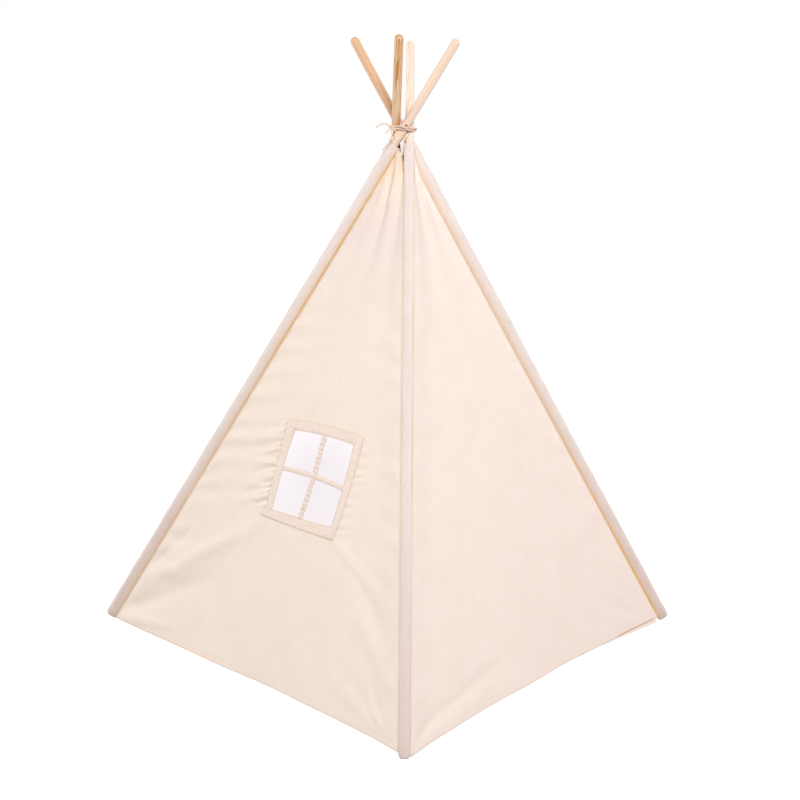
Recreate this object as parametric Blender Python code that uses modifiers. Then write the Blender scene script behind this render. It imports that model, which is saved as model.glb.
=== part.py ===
"""Child's play teepee: four jointed wooden poles lashed at the top, a canvas cover with a
sleeve on each pole, a window with four open panes and a door with two tied-back curtains.

The door faces -Y. The origin is the middle of the base, on the floor.
"""

import math

import bmesh
import bpy
from mathutils import Matrix, Vector

# Tent, in metres
BASE_WIDTH = 1.2  # between the feet of neighbouring poles
CROSSING_HEIGHT = 1.4706  # where every pole passes beside the tent's middle line
FOOT_HEIGHT = 0.02  # of a pole's axis at the corner of the base
FIT_GAP = 0.0003  # between pieces that touch

# Poles: three turned sections each, joined by flush metal ferrules
POLE_RADIUS = 0.0125
POLE_PASSING_GAP = 0.0005  # between neighbouring poles where they cross
POLE_TOE = 0.010  # of the pole below the corner of the base
SECTION_LENGTH = 0.6585  # of one section between its shoulders
TIP_ROUND = 0.011
TOE_ROUND = 0.004
TENON_LENGTH = 0.045
FERRULE_WALL = 0.0012
ROPE_HOLE_RADIUS = 0.004
ROPE_HOLE_ABOVE_CROSSING = 0.0145

# Canvas cover
CANVAS = 0.0012  # thickness
POLE_SLACK = 0.0004  # between a pole and its sleeve
SLEEVE_WALL = 0.0011
SLEEVE_DEPTH = 0.020  # from the pole's axis to the sleeve's inner side
SLEEVE_BELOW_CROSSING = 0.0487  # from the crossing down the pole to the sleeve's top
POCKET_TOP = 0.030
POCKET_BOTTOM = 0.016
POCKET_ROUND = 0.0035
SEAM_GAP = 0.0004  # between a sleeve and the walls' edges
WALL_BELOW_CROSSING = 0.0956  # from the crossing's height down to the walls' top
HEM_HEIGHT = 0.005
HEM_ARCH = 0.010
HEM_FOLD_DEPTH = 0.007
APEX_FOLD_DEPTH = 0.005
HEM_FOLDS = 3
APEX_FOLDS = 2

# Window in the wall that faces +X; places along the wall are measured from its middle
WINDOW_LEFT = -0.0738
WINDOW_RIGHT = 0.150
WINDOW_BOTTOM = 0.435
WINDOW_TOP = 0.643
WINDOW_MARGIN = 0.002  # of the hole in the canvas beyond the binding's inner edge
BINDING_WIDTH = 0.030
BINDING_TALL = 0.0277  # the same tape, as a height on the leaning wall
BINDING = 0.001
UPRIGHT_BAR_PLACE = 0.0375
UPRIGHT_BAR_WIDTH = 0.018
LEVEL_BAR_HEIGHT = 0.5405
LEVEL_BAR_WIDTH = 0.0135
WINDOW_CALM = 0.045  # width of the flat canvas round the binding
WINDOW_FADE = 0.06  # over which the folds grow outside it

# Door in the wall that faces -Y
DOOR_HEAD_HEIGHT = 1.02
TIEBACK_HEIGHT = 0.52
DOOR_HEM_HEIGHT = 0.012
PLEAT_DEPTH = 0.017
TIED_PLEAT_DEPTH = 0.0085
PLEATS = 5
TIED_SHARE = 0.85  # of the half wall that is open at the tie-back
FLOOR_SHARE = 0.64  # of the half wall that is open at the floor
SWEEP_POWER = 1.6
TIEBACK_TALL = 0.022
TIEBACK_THICKNESS = 0.0012
TIEBACK_CLEARANCE = 0.0022  # over the tied pleats

# Rope lashing round the crossing
ROPE_RADIUS = 0.0019
ROPE_LOOPS = 3
ROPE_PITCH = 0.0046
ROPE_ABOVE_CROSSING = 0.005
ROPE_SLACK = 0.0006  # round the poles, for them to turn
LOOP_POINTS = 24
LASHING_ROUND_STEPS = 1
ROPE_END_ROUND_STEPS = 2
KNOT_RADIUS = 0.0065
KNOT_LATERAL = -0.0255
KNOT_ABOVE_CROSSING = 0.0050
COVER_TIE_WIDTH = 0.006

# Free rope ends from the knot, as hand-chosen points: across, outward and above the crossing,
# seen from the corner between +X and +Y
ROPE_END_ROUTES = {
    "rope_end_curled": (
        (-0.0400, 0.0385, 0.0112),
        (-0.0480, 0.0400, 0.0145),
        (-0.0560, 0.0412, 0.0152),
        (-0.0630, 0.0422, 0.0138),
        (-0.0700, 0.0430, 0.0102),
        (-0.0765, 0.0436, 0.0052),
    ),
    "rope_end_short_side": (
        (-0.0360, 0.0450, 0.0014),
        (-0.0412, 0.0505, -0.0014),
        (-0.0458, 0.0560, -0.0050),
        (-0.0492, 0.0622, -0.0090),
    ),
    "rope_end_short_down": (
        (-0.0298, 0.0425, -0.0070),
        (-0.0322, 0.0472, -0.0138),
        (-0.0344, 0.0512, -0.0208),
        (-0.0358, 0.0552, -0.0280),
    ),
    "rope_end_long": (
        (-0.0205, 0.0412, -0.0060),
        (-0.0238, 0.0430, -0.0142),
        (-0.0304, 0.0434, -0.0232),
        (-0.0372, 0.0432, -0.0322),
        (-0.0440, 0.0430, -0.0410),
        (-0.0506, 0.0430, -0.0496),
        (-0.0570, 0.0432, -0.0580),
    ),
}
# The tape that ties the cover's peak up to the lashing, in the same directions: across and
# outward as shares of a pole's radius, and below the crossing as a share of the tape's drop
COVER_TIE_ROUTE_SHARES = (
    (-0.40, 2.57, 1.00),
    (-0.36, 2.44, 0.79),
    (-0.10, 2.24, 0.55),
    (0.14, 1.96, 0.32),
    (0.76, 1.89, 0.164),
    (1.24, 1.50, 0.063),
)

# Meshes
TURNED_STEPS = 16
ARC_STEPS = 8
CUT_OVERRUN = 0.004
FLOOR_CUTTER = 0.2
WELD = 0.00001
WALL_COLUMNS = 14
WALL_ROWS = 14
WINDOW_SIDE_COLUMNS = 5
WINDOW_COLUMNS = 4
WINDOW_ROWS = (5, 4, 7)  # below the window, beside it and above it
DOOR_HEAD_COLUMNS = 8
DOOR_HEAD_ROWS = 6
CURTAIN_COLUMNS = 24
CURTAIN_ROWS = 16

SECTION_NAMES = ("lower", "middle", "upper")
FERRULE_NAMES = ("lower", "upper")
SECTIONS = len(SECTION_NAMES)

FOLD_DEGREES = 26  # that each pole turns inward about its crossing when the tent is folded
CORNERS = {"rear_right": 45, "rear_left": 135, "front_left": 225, "front_right": 315}
WALLS = {"window": 0, "back": 90, "plain": 180, "door": 270}

FOOT_RADIUS = BASE_WIDTH / math.sqrt(2)
LEAN = math.atan2(FOOT_RADIUS, CROSSING_HEIGHT - FOOT_HEIGHT)
# Neighbouring poles cross square to each other in plan, so their gap is a little under this share
CROSSING_SHARE = 2 * math.cos(LEAN) / math.sqrt(2 * math.cos(LEAN) ** 2 + math.sin(LEAN) ** 2)
CROSSING_OFFSET = (2 * POLE_RADIUS + POLE_PASSING_GAP) / CROSSING_SHARE
TENON_RADIUS = POLE_RADIUS - FERRULE_WALL - FIT_GAP
SLEEVE_HALF_WIDTH = POLE_RADIUS + POLE_SLACK + SLEEVE_WALL
WALL_TOP_HEIGHT = CROSSING_HEIGHT - WALL_BELOW_CROSSING
COVER_TIE_DROP = WALL_BELOW_CROSSING - CANVAS
UP = Vector((0, 0, 1))


def turned_direction(degrees):
    """Level direction at an angle round the tent, from +X towards +Y."""
    angle = math.radians(degrees)
    return Vector((math.cos(angle), math.sin(angle), 0))


class PoleLine:
    """Where one pole stands: its foot, its axis and the directions square to it."""

    def __init__(self, azimuth, fold=0):
        radial = turned_direction(azimuth)
        self.foot = radial * FOOT_RADIUS + UP * FOOT_HEIGHT
        self.crossing = turned_direction(azimuth + 90) * CROSSING_OFFSET + UP * CROSSING_HEIGHT
        self.crossing_along = (self.crossing - self.foot).length
        self.axis = (self.crossing - self.foot).normalized()
        self.side = self.axis.cross(UP).normalized()
        self.axis.rotate(Matrix.Rotation(math.radians(fold), 3, self.side))
        self.foot = self.crossing - self.axis * self.crossing_along
        self.outward = self.side.cross(self.axis)

    def matrix(self, along):
        """Placement whose +Z runs up the pole and +X points out of the tent."""
        turn = Matrix((self.outward, self.side, self.axis)).transposed()
        return Matrix.Translation(self.foot + self.axis * along) @ turn.to_4x4()

    def seam(self, turn, height):
        """Point of the wall's seam beside this pole; turn is +1 or -1 for its two walls."""
        behind = SLEEVE_DEPTH + SEAM_GAP + CANVAS / 2
        start = self.foot - self.outward * behind + self.side * (turn * SLEEVE_HALF_WIDTH)
        return start + self.axis * ((height - start.z) / self.axis.z)

    def at_height(self, height):
        """Point of the pole's axis at one height."""
        return self.foot + self.axis * ((height - self.foot.z) / self.axis.z)

    def level_edge(self, height, direction):
        """Farthest point of the pole at one height in a level direction."""
        lean = Vector((self.axis.x, self.axis.y, 0)).normalized()
        across = UP.cross(lean)
        by_lean = POLE_RADIUS / self.axis.z * direction.dot(lean)
        by_side = POLE_RADIUS * direction.dot(across)
        reach = lean * (POLE_RADIUS / self.axis.z * by_lean) + across * (POLE_RADIUS * by_side)
        return self.at_height(height) + reach / math.hypot(by_lean, by_side)


POLES = {corner: PoleLine(azimuth) for corner, azimuth in CORNERS.items()}
FOLDED_POLES = {corner: PoleLine(azimuth, FOLD_DEGREES) for corner, azimuth in CORNERS.items()}


class WallPlane:
    """One side of the cover, stretched between the seams of two poles."""

    def __init__(self, azimuth):
        by_azimuth = {CORNERS[corner]: POLES[corner] for corner in CORNERS}
        self.first = by_azimuth[(azimuth - 45) % 360]
        self.second = by_azimuth[(azimuth + 45) % 360]
        self.along = turned_direction(azimuth + 90)
        slope = self.first.seam(1, WALL_TOP_HEIGHT) - self.first.seam(1, HEM_HEIGHT)
        self.normal = self.along.cross(slope).normalized()

    def ends(self, height):
        """Seam points of both poles at one height."""
        return self.first.seam(1, height), self.second.seam(-1, height)

    def reach(self, height):
        """Where the two seams lie along the wall."""
        start, end = self.ends(height)
        return start.dot(self.along), end.dot(self.along)

    def point(self, place, height, lift):
        """Point at a place along the wall and a height, lifted out of the canvas."""
        start, end = self.ends(height)
        low, high = start.dot(self.along), end.dot(self.along)
        return start.lerp(end, (place - low) / (high - low)) + self.normal * lift


def make_material(name, colour, roughness, metallic=0):
    """Principled material from an sRGB colour of 0 to 255."""
    made = bpy.data.materials.new(name)
    made.use_nodes = True
    shader = made.node_tree.nodes["Principled BSDF"]
    linear = [(value / 255 / 12.92) if value <= 10 else ((value / 255 + 0.055) / 1.055) ** 2.4
              for value in colour]
    shader.inputs["Base Color"].default_value = (*linear, 1)
    shader.inputs["Roughness"].default_value = roughness
    shader.inputs["Metallic"].default_value = metallic
    return made


def add_object(name, data, finish, collection, matrix=None):
    """Link a mesh or a curve as one named piece."""
    made = bpy.data.objects.new(name, data)
    collection.objects.link(made)
    if finish is not None:
        data.materials.append(finish)
    if matrix is not None:
        made.matrix_world = matrix
    return made


def smooth(mesh, degrees=40):
    """Smooth shading with the real edges kept sharp."""
    mesh.shade_smooth()
    mesh.set_sharp_from_angle(angle=math.radians(degrees))


def turned_piece(name, profile, finish, collection, matrix, closed=False):
    """Turn a profile of (radius, height) points, listed from top to bottom, about its axis."""
    mesh = bpy.data.meshes.new(name)
    count = len(profile)
    edges = [(index, index + 1) for index in range(count - 1)]
    if closed:
        edges.append((count - 1, 0))
    mesh.from_pydata([(radius, 0, height) for radius, height in profile], edges, [])
    made = add_object(name, mesh, finish, collection, matrix)
    screw = made.modifiers.new("Turning", "SCREW")
    screw.steps = TURNED_STEPS
    screw.render_steps = TURNED_STEPS
    screw.use_merge_vertices = True
    screw.merge_threshold = WELD
    screw.use_smooth_shade = True
    return made


def rounded(radius, height, end_round, turn, steps=3):
    """Points that round a turned end; turn is +1 at the top and -1 at the bottom."""
    points = []
    for step in range(steps + 1):
        angle = math.pi / 2 * step / steps
        points.append((radius - end_round + end_round * math.sin(angle),
                       height - turn * end_round * (1 - math.cos(angle))))
    return points if turn > 0 else points[::-1]


def joint_height(number):
    """Place along the pole of the joint above a section, counted from the bottom."""
    return number * SECTION_LENGTH - POLE_TOE


def section_profile(number):
    """Profile of one pole section; its joint ends are tenons that enter the ferrules."""
    bottom = joint_height(number)
    top = joint_height(number + 1)
    if number == SECTIONS - 1:
        upper = [(0, top)] + rounded(POLE_RADIUS, top, TIP_ROUND, 1)
    else:
        shoulder = top - TENON_LENGTH - FIT_GAP
        upper = [(0, top - FIT_GAP / 2), (TENON_RADIUS, top - FIT_GAP / 2),
                 (TENON_RADIUS, shoulder), (POLE_RADIUS, shoulder)]
    if number == 0:
        lower = rounded(POLE_RADIUS, bottom, TOE_ROUND, -1) + [(0, bottom)]
    else:
        shoulder = bottom + TENON_LENGTH + FIT_GAP
        lower = [(POLE_RADIUS, shoulder), (TENON_RADIUS, shoulder),
                 (TENON_RADIUS, bottom + FIT_GAP / 2), (0, bottom + FIT_GAP / 2)]
    return upper + lower


def cut_by(piece, cutter):
    """Subtract one cutter from a piece."""
    cut = piece.modifiers.new("Cut by " + cutter.name, "BOOLEAN")
    cut.operation = "DIFFERENCE"
    cut.solver = "EXACT"
    cut.object = cutter


def cylinder_cutter(name, radius, length, matrix, collection):
    """Round cutter along the Z axis of its placement."""
    mesh = bpy.data.meshes.new(name)
    shape = bmesh.new()
    bmesh.ops.create_cone(shape, cap_ends=True, segments=TURNED_STEPS, radius1=radius,
                          radius2=radius, depth=length)
    shape.to_mesh(mesh)
    shape.free()
    return add_cutter(name, mesh, matrix, collection)


def add_cutter(name, mesh, matrix, collection):
    """Link a mesh as a cutter, shown as wire and not rendered."""
    made = add_object(name, mesh, None, collection, matrix)
    made.hide_render = True
    made.display_type = "WIRE"
    return made


def build_pole(corner, finishes, parts, cutters):
    """Three wooden sections and two ferrules of one pole, with the rope hole at the crossing."""
    line = POLES[corner]
    for number, level in enumerate(SECTION_NAMES):
        name = f"pole_{level}_{corner}"
        section = turned_piece(name, section_profile(number), finishes["pine"], parts,
                               line.matrix(0))
        if number == SECTIONS - 1:
            hole_at = line.crossing_along + ROPE_HOLE_ABOVE_CROSSING
            across = line.matrix(hole_at) @ Matrix.Rotation(math.pi / 2, 4, "X")
            hole = cylinder_cutter(f"rope_hole_{corner}", ROPE_HOLE_RADIUS,
                                   2 * (POLE_RADIUS + CUT_OVERRUN), across, cutters)
            cut_by(section, hole)
    for number, level in enumerate(FERRULE_NAMES):
        middle = joint_height(number + 1)
        inner = POLE_RADIUS - FERRULE_WALL
        ring = [(POLE_RADIUS, middle + TENON_LENGTH), (POLE_RADIUS, middle - TENON_LENGTH),
                (inner, middle - TENON_LENGTH), (inner, middle + TENON_LENGTH)]
        turned_piece(f"ferrule_{level}_{corner}", ring, finishes["steel"], parts,
                     line.matrix(0), closed=True)


def sleeve_outline(wall):
    """Cross-section of a sleeve, as far inside its outer face as the wall is thick."""
    half = SLEEVE_HALF_WIDTH - wall
    depth = SLEEVE_DEPTH - wall
    points = [(-depth, -half)]
    for step in range(ARC_STEPS + 1):
        angle = math.pi * step / ARC_STEPS - math.pi / 2
        points.append((half * math.cos(angle), half * math.sin(angle)))
    points.append((-depth, half))
    return points


def extruded_outline(name, outlines, low, high, line, finish, collection):
    """Flat outline, with a hole where a second one is given, extruded up a pole's axis."""
    curve = bpy.data.curves.new(name, "CURVE")
    curve.dimensions = "2D"
    curve.fill_mode = "BOTH"
    curve.extrude = (high - low) / 2
    for outline in outlines:
        spline = curve.splines.new("POLY")
        spline.points.add(len(outline) - 1)
        spline.use_cyclic_u = True
        for point, (across, beside) in zip(spline.points, outline):
            point.co = (across, beside, 0, 1)
    return add_object(name, curve, finish, collection, line.matrix((low + high) / 2))


def curve_to_mesh(made):
    """Replace a curve object with its welded mesh, so that it can be cut."""
    bpy.context.view_layer.update()
    graph = bpy.context.evaluated_depsgraph_get()
    mesh = bpy.data.meshes.new_from_object(made.evaluated_get(graph))
    shape = bmesh.new()
    shape.from_mesh(mesh)
    bmesh.ops.remove_doubles(shape, verts=shape.verts, dist=WELD)
    bmesh.ops.recalc_face_normals(shape, faces=shape.faces)
    shape.to_mesh(mesh)
    shape.free()
    name, matrix, collection = made.name, made.matrix_world.copy(), made.users_collection[0]
    bpy.data.objects.remove(made)
    return add_object(name, mesh, None, collection, matrix)


def build_sleeve(corner, finishes, parts, cutters):
    """Canvas sleeve of one pole and the closed pocket that its foot stands in."""
    line = POLES[corner]
    extruded_outline(f"sleeve_{corner}", [sleeve_outline(0), sleeve_outline(SLEEVE_WALL)],
                     POCKET_TOP + FIT_GAP, line.crossing_along - SLEEVE_BELOW_CROSSING, line,
                     finishes["canvas"], parts)
    pocket = extruded_outline(f"foot_pocket_{corner}", [sleeve_outline(0)], -POCKET_BOTTOM,
                              POCKET_TOP, line, finishes["canvas"], parts)
    pocket = curve_to_mesh(pocket)
    shape = bmesh.new()
    shape.from_mesh(pocket.data)
    lowest = min(vertex.co.z for vertex in shape.verts)
    rim = [edge for edge in shape.edges if all(v.co.z < lowest + WELD for v in edge.verts)
           and len({face for face in edge.link_faces if abs(face.normal.z) < 0.5}) == 1]
    bmesh.ops.bevel(shape, geom=rim, offset=POCKET_ROUND, offset_type="OFFSET", segments=2,
                    profile=0.5, affect="EDGES", clamp_overlap=True)
    shape.to_mesh(pocket.data)
    shape.free()
    bore_bottom = -POLE_TOE - FIT_GAP
    bore_top = POCKET_TOP + CUT_OVERRUN
    bore = cylinder_cutter(f"pocket_bore_{corner}", POLE_RADIUS + FIT_GAP, bore_top - bore_bottom,
                           line.matrix((bore_bottom + bore_top) / 2), cutters)
    cut_by(pocket, bore)
    mesh = bpy.data.meshes.new(f"floor_{corner}")
    floor = bmesh.new()
    bmesh.ops.create_cube(floor, size=FLOOR_CUTTER)
    floor.to_mesh(mesh)
    floor.free()
    under = Matrix.Translation((line.foot.x, line.foot.y, -FLOOR_CUTTER / 2))
    cut_by(pocket, add_cutter(f"floor_{corner}", mesh, under, cutters))


def spread(low, high, count):
    """Evenly spaced values from low to high, both ends included."""
    return [low + (high - low) * index / count for index in range(count + 1)]


def sheet(name, columns, rows, place_of, finish, collection, thickness, hole=None):
    """Closed cloth piece on a grid; place_of gives each grid point its place in the tent."""
    mesh = bpy.data.meshes.new(name)
    shape = bmesh.new()
    bmesh.ops.create_grid(shape, x_segments=columns, y_segments=rows, size=1)
    holed = []
    for face in shape.faces:
        middle = face.calc_center_median()
        column = int((middle.x + 1) / 2 * columns)
        row = int((middle.y + 1) / 2 * rows)
        if hole and hole[0] <= column < hole[1] and hole[2] <= row < hole[3]:
            holed.append(face)
    bmesh.ops.delete(shape, geom=holed, context="FACES")
    for vertex in shape.verts:
        column = round((vertex.co.x + 1) / 2 * columns)
        row = round((vertex.co.y + 1) / 2 * rows)
        vertex.co = place_of(column, row)
    bmesh.ops.recalc_face_normals(shape, faces=shape.faces)
    shape.to_mesh(mesh)
    shape.free()
    made = add_object(name, mesh, finish, collection)
    thicken = made.modifiers.new("Cloth", "SOLIDIFY")
    thicken.thickness = thickness
    thicken.offset = 0
    return made


def canvas_folds(share, rise_share):
    """Soft folds of a stretched wall, nothing at its seams: some near the hem, some at the peak."""
    edge = 4 * share * (1 - share)
    hem = HEM_FOLD_DEPTH * (1 - rise_share) ** 4 * math.sin(2 * math.pi * HEM_FOLDS * share)
    apex = APEX_FOLD_DEPTH * rise_share ** 4 * math.sin(2 * math.pi * APEX_FOLDS * share)
    return edge * (hem + apex)


def hem_height(share):
    """Height of a wall's hem, which arches up a little between the poles."""
    return HEM_HEIGHT + HEM_ARCH * 4 * share * (1 - share)


def build_plain_wall(name, side, finishes, parts):
    """A wall with no opening."""
    plane = WallPlane(WALLS[side])

    def place_of(column, row):
        share = column / WALL_COLUMNS
        rise = row / WALL_ROWS
        low = hem_height(share)
        height = low + (WALL_TOP_HEIGHT - low) * rise
        start, end = plane.reach(height)
        return plane.point(start + (end - start) * share, height, canvas_folds(share, rise))

    return sheet(name, WALL_COLUMNS, WALL_ROWS, place_of, finishes["canvas"], parts, CANVAS)


def smooth_step(value):
    """Smooth rise from 0 to 1."""
    value = min(max(value, 0), 1)
    return value * value * (3 - 2 * value)


def build_window_wall(finishes, parts):
    """The wall with the window: its canvas, the window's binding and the two crossing bars."""
    plane = WallPlane(WALLS["window"])
    left, right = WINDOW_LEFT - WINDOW_MARGIN, WINDOW_RIGHT + WINDOW_MARGIN
    bottom, top = WINDOW_BOTTOM - WINDOW_MARGIN, WINDOW_TOP + WINDOW_MARGIN
    side, middle = WINDOW_SIDE_COLUMNS, WINDOW_COLUMNS
    below, across, above = WINDOW_ROWS

    def place_of(column, row):
        if row <= below:
            level = None
            rise = row / below
        elif row <= below + across:
            level = bottom + (top - bottom) * (row - below) / across
        else:
            level = top + (WALL_TOP_HEIGHT - top) * (row - below - across) / above
        sizing = min(max(level if level is not None else bottom, bottom), top)
        start, end = plane.reach(sizing)
        left_share = (left - start) / (end - start)
        right_share = (right - start) / (end - start)
        if column <= side:
            share = left_share * column / side
        elif column <= side + middle:
            share = left_share + (right_share - left_share) * (column - side) / middle
        else:
            share = right_share + (1 - right_share) * (column - side - middle) / side
        if level is None:
            low = hem_height(share)
            level = low + (bottom - low) * rise
        start, end = plane.reach(level)
        place = start + (end - start) * share
        beyond = max(left - place, place - right, bottom - level, level - top)
        fold = smooth_step((beyond - BINDING_WIDTH - WINDOW_CALM) / WINDOW_FADE)
        lift = canvas_folds(share, level / WALL_TOP_HEIGHT) * fold
        return plane.point(place, level, lift)

    columns = 2 * side + middle
    sheet("wall_window_side", columns, below + across + above, place_of, finishes["canvas"],
          parts, CANVAS, (side, side + middle, below, below + across))
    build_window_trim(plane, finishes, parts)


def build_window_trim(plane, finishes, parts):
    """Binding tape round the window and the two bars that make its four panes."""
    places = spread(WINDOW_LEFT, WINDOW_RIGHT, WINDOW_COLUMNS)
    places = [WINDOW_LEFT - BINDING_WIDTH] + places + [WINDOW_RIGHT + BINDING_WIDTH]
    heights = spread(WINDOW_BOTTOM, WINDOW_TOP, WINDOW_ROWS[1])
    heights = [WINDOW_BOTTOM - BINDING_TALL] + heights + [WINDOW_TOP + BINDING_TALL]
    lift = CANVAS / 2 + FIT_GAP + BINDING / 2

    def binding_place(column, row):
        return plane.point(places[column], heights[row], lift)

    sheet("window_binding", len(places) - 1, len(heights) - 1, binding_place,
          finishes["tape"], parts, BINDING, (1, len(places) - 2, 1, len(heights) - 2))

    level_ends = (WINDOW_LEFT - WINDOW_MARGIN + FIT_GAP, WINDOW_RIGHT + WINDOW_MARGIN - FIT_GAP)

    def level_place(column, row):
        place = spread(*level_ends, WINDOW_COLUMNS)[column]
        height = LEVEL_BAR_HEIGHT + LEVEL_BAR_WIDTH * (row - 0.5)
        return plane.point(place, height, 0)

    sheet("window_bar_level", WINDOW_COLUMNS, 1, level_place, finishes["tape"], parts, CANVAS)

    upright_ends = (WINDOW_BOTTOM + FIT_GAP, WINDOW_TOP - FIT_GAP)

    def upright_place(column, row):
        place = UPRIGHT_BAR_PLACE + UPRIGHT_BAR_WIDTH * (column - 0.5)
        height = spread(*upright_ends, WINDOW_ROWS[1])[row]
        return plane.point(place, height, CANVAS + FIT_GAP)

    sheet("window_bar_upright", 1, WINDOW_ROWS[1], upright_place, finishes["tape"], parts, CANVAS)


def open_share(height):
    """Share of the half wall that a curtain leaves open, from the door's head to its hem."""
    if height >= TIEBACK_HEIGHT:
        drop = (DOOR_HEAD_HEIGHT - height) / (DOOR_HEAD_HEIGHT - TIEBACK_HEIGHT)
        return TIED_SHARE * math.sin(math.pi / 2 * max(drop, 0)) ** SWEEP_POWER
    fall = (TIEBACK_HEIGHT - height) / (TIEBACK_HEIGHT - DOOR_HEM_HEIGHT)
    return TIED_SHARE + (FLOOR_SHARE - TIED_SHARE) * smooth_step(fall)


def pleat_lift(share, height):
    """How far a curtain's pleats stand out of the wall, nothing at the seam and the head."""
    if height >= TIEBACK_HEIGHT:
        drop = (DOOR_HEAD_HEIGHT - height) / (DOOR_HEAD_HEIGHT - TIEBACK_HEIGHT)
        depth = TIED_PLEAT_DEPTH * smooth_step(drop)
    else:
        fall = (TIEBACK_HEIGHT - height) / (TIEBACK_HEIGHT - DOOR_HEM_HEIGHT)
        depth = TIED_PLEAT_DEPTH + (PLEAT_DEPTH - TIED_PLEAT_DEPTH) * smooth_step(fall)
    ramp = smooth_step(share * PLEATS / 2)
    return depth * ramp * math.sin(2 * math.pi * PLEATS * share)


def build_door(finishes, parts):
    """The door wall: a closed head over two curtains, each drawn back to its pole by a strap."""
    plane = WallPlane(WALLS["door"])

    def head_place(column, row):
        share = column / DOOR_HEAD_COLUMNS
        rise = row / DOOR_HEAD_ROWS
        height = DOOR_HEAD_HEIGHT + FIT_GAP + (WALL_TOP_HEIGHT - DOOR_HEAD_HEIGHT) * rise
        start, end = plane.reach(height)
        lift = canvas_folds(share, height / WALL_TOP_HEIGHT) * smooth_step(2 * rise)
        return plane.point(start + (end - start) * share, height, lift)

    sheet("door_head", DOOR_HEAD_COLUMNS, DOOR_HEAD_ROWS, head_place, finishes["canvas"], parts,
          CANVAS)
    for name, at_second in (("left", False), ("right", True)):

        def curtain_place(column, row, at_second=at_second):
            share = column / CURTAIN_COLUMNS
            rise = row / CURTAIN_ROWS
            top = DOOR_HEAD_HEIGHT - FIT_GAP
            height = DOOR_HEM_HEIGHT + (top - DOOR_HEM_HEIGHT) * rise
            start, end = plane.reach(height)
            seam, middle = (end, (start + end) / 2) if at_second else (start, (start + end) / 2)
            inner_gap = FIT_GAP if at_second else -FIT_GAP
            edge = middle + inner_gap + (seam - middle) * open_share(height)
            lift = pleat_lift(share, height)
            return plane.point(seam + (edge - seam) * share, height, lift)

        sheet(f"door_curtain_{name}", CURTAIN_COLUMNS, CURTAIN_ROWS, curtain_place,
              finishes["canvas"], parts, CANVAS)
        build_tieback(name, plane, at_second, finishes, parts)


def build_tieback(name, plane, at_second, finishes, parts):
    """Strap that holds one curtain back: a band round the gathered canvas, seated on the sleeve."""
    line = plane.second if at_second else plane.first
    turn = -1 if at_second else 1
    seam = line.seam(turn, TIEBACK_HEIGHT)
    middle = line.foot + line.axis * (seam - line.foot).dot(line.axis)
    across = (plane.along - line.axis * plane.along.dot(line.axis)).normalized() * turn
    start, end = plane.reach(TIEBACK_HEIGHT)
    gathered = (end - start) / 2 * (1 - TIED_SHARE) * abs(across.dot(plane.along))
    seam_reach = (seam - middle).dot(across)
    canvas_lift = (seam - middle).dot(plane.normal)
    half = TIED_PLEAT_DEPTH + TIEBACK_CLEARANCE + TIEBACK_THICKNESS
    outer = canvas_lift + half
    inner = canvas_lift - half
    side = line.side * turn
    outer_end = ((SLEEVE_HALF_WIDTH + SEAM_GAP - (outer - TIEBACK_THICKNESS / 2)
                  * plane.normal.dot(side)) / across.dot(side))
    inner_end = ((-SLEEVE_DEPTH - SEAM_GAP - (inner + TIEBACK_THICKNESS / 2)
                  * plane.normal.dot(line.outward)) / across.dot(line.outward))
    centre_line = [(outer_end, outer), (seam_reach, outer)]
    for step in range(ARC_STEPS + 1):
        angle = math.pi / 2 - math.pi * step / ARC_STEPS
        centre_line.append((seam_reach + gathered + half * math.cos(angle) / 2,
                            canvas_lift + half * math.sin(angle)))
    centre_line += [(seam_reach, inner), (inner_end, inner)]

    def strap_place(column, row):
        reach, lift = centre_line[column]
        point = middle + across * reach + plane.normal * lift
        return point + line.axis * (TIEBACK_TALL * (row - 0.5))

    sheet(f"door_tieback_{name}", len(centre_line) - 1, 1, strap_place, finishes["tape"], parts,
          TIEBACK_THICKNESS)


def lashing_points():
    """Rope path round the four poles, standing or folded, that climbs a little every turn."""
    points = []
    steps_a_corner = LOOP_POINTS // len(POLES)
    quarter = 360 / len(POLES)
    base = CROSSING_HEIGHT + ROPE_ABOVE_CROSSING - ROPE_PITCH * ROPE_LOOPS / 2
    corners = list(POLES)
    for number in range(ROPE_LOOPS * LOOP_POINTS + 1):
        height = base + ROPE_PITCH * number / LOOP_POINTS
        corner, step = divmod(number, steps_a_corner)
        name = corners[corner % len(corners)]
        middle = POLES[name].at_height(height)
        azimuth = math.degrees(math.atan2(middle.y, middle.x))
        swing = quarter * ((step + 0.5) / steps_a_corner - 0.5)
        away = turned_direction(azimuth + swing)
        edges = [line.level_edge(height, away) for line in (POLES[name], FOLDED_POLES[name])]
        edge = max(edges, key=away.dot)
        points.append(edge + away * (ROPE_RADIUS + ROPE_SLACK))
    return points


def least_gap(points):
    """Least distance between turns of the rope that aren't neighbours along it."""
    apart = LOOP_POINTS // 2
    return min((points[first] - points[second]).length for first in range(len(points))
               for second in range(first + apart, len(points))) - 2 * ROPE_RADIUS


def knot_depth(winding):
    """How far out the knot sits, to rest on the turns of rope behind it."""
    rest = KNOT_RADIUS + ROPE_RADIUS + FIT_GAP
    across = turned_direction(CORNERS["rear_right"] + 90)
    outward = turned_direction(CORNERS["rear_right"])
    depths = []
    for start, end in zip(winding, winding[1:]):
        for step in range(ARC_STEPS):
            point = start.lerp(end, step / ARC_STEPS)
            aside = point.dot(across) - KNOT_LATERAL
            above = point.z - CROSSING_HEIGHT - KNOT_ABOVE_CROSSING
            spare = rest ** 2 - aside ** 2 - above ** 2
            if spare > 0:
                depths.append(point.dot(outward) + math.sqrt(spare))
    return max(depths)


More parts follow.
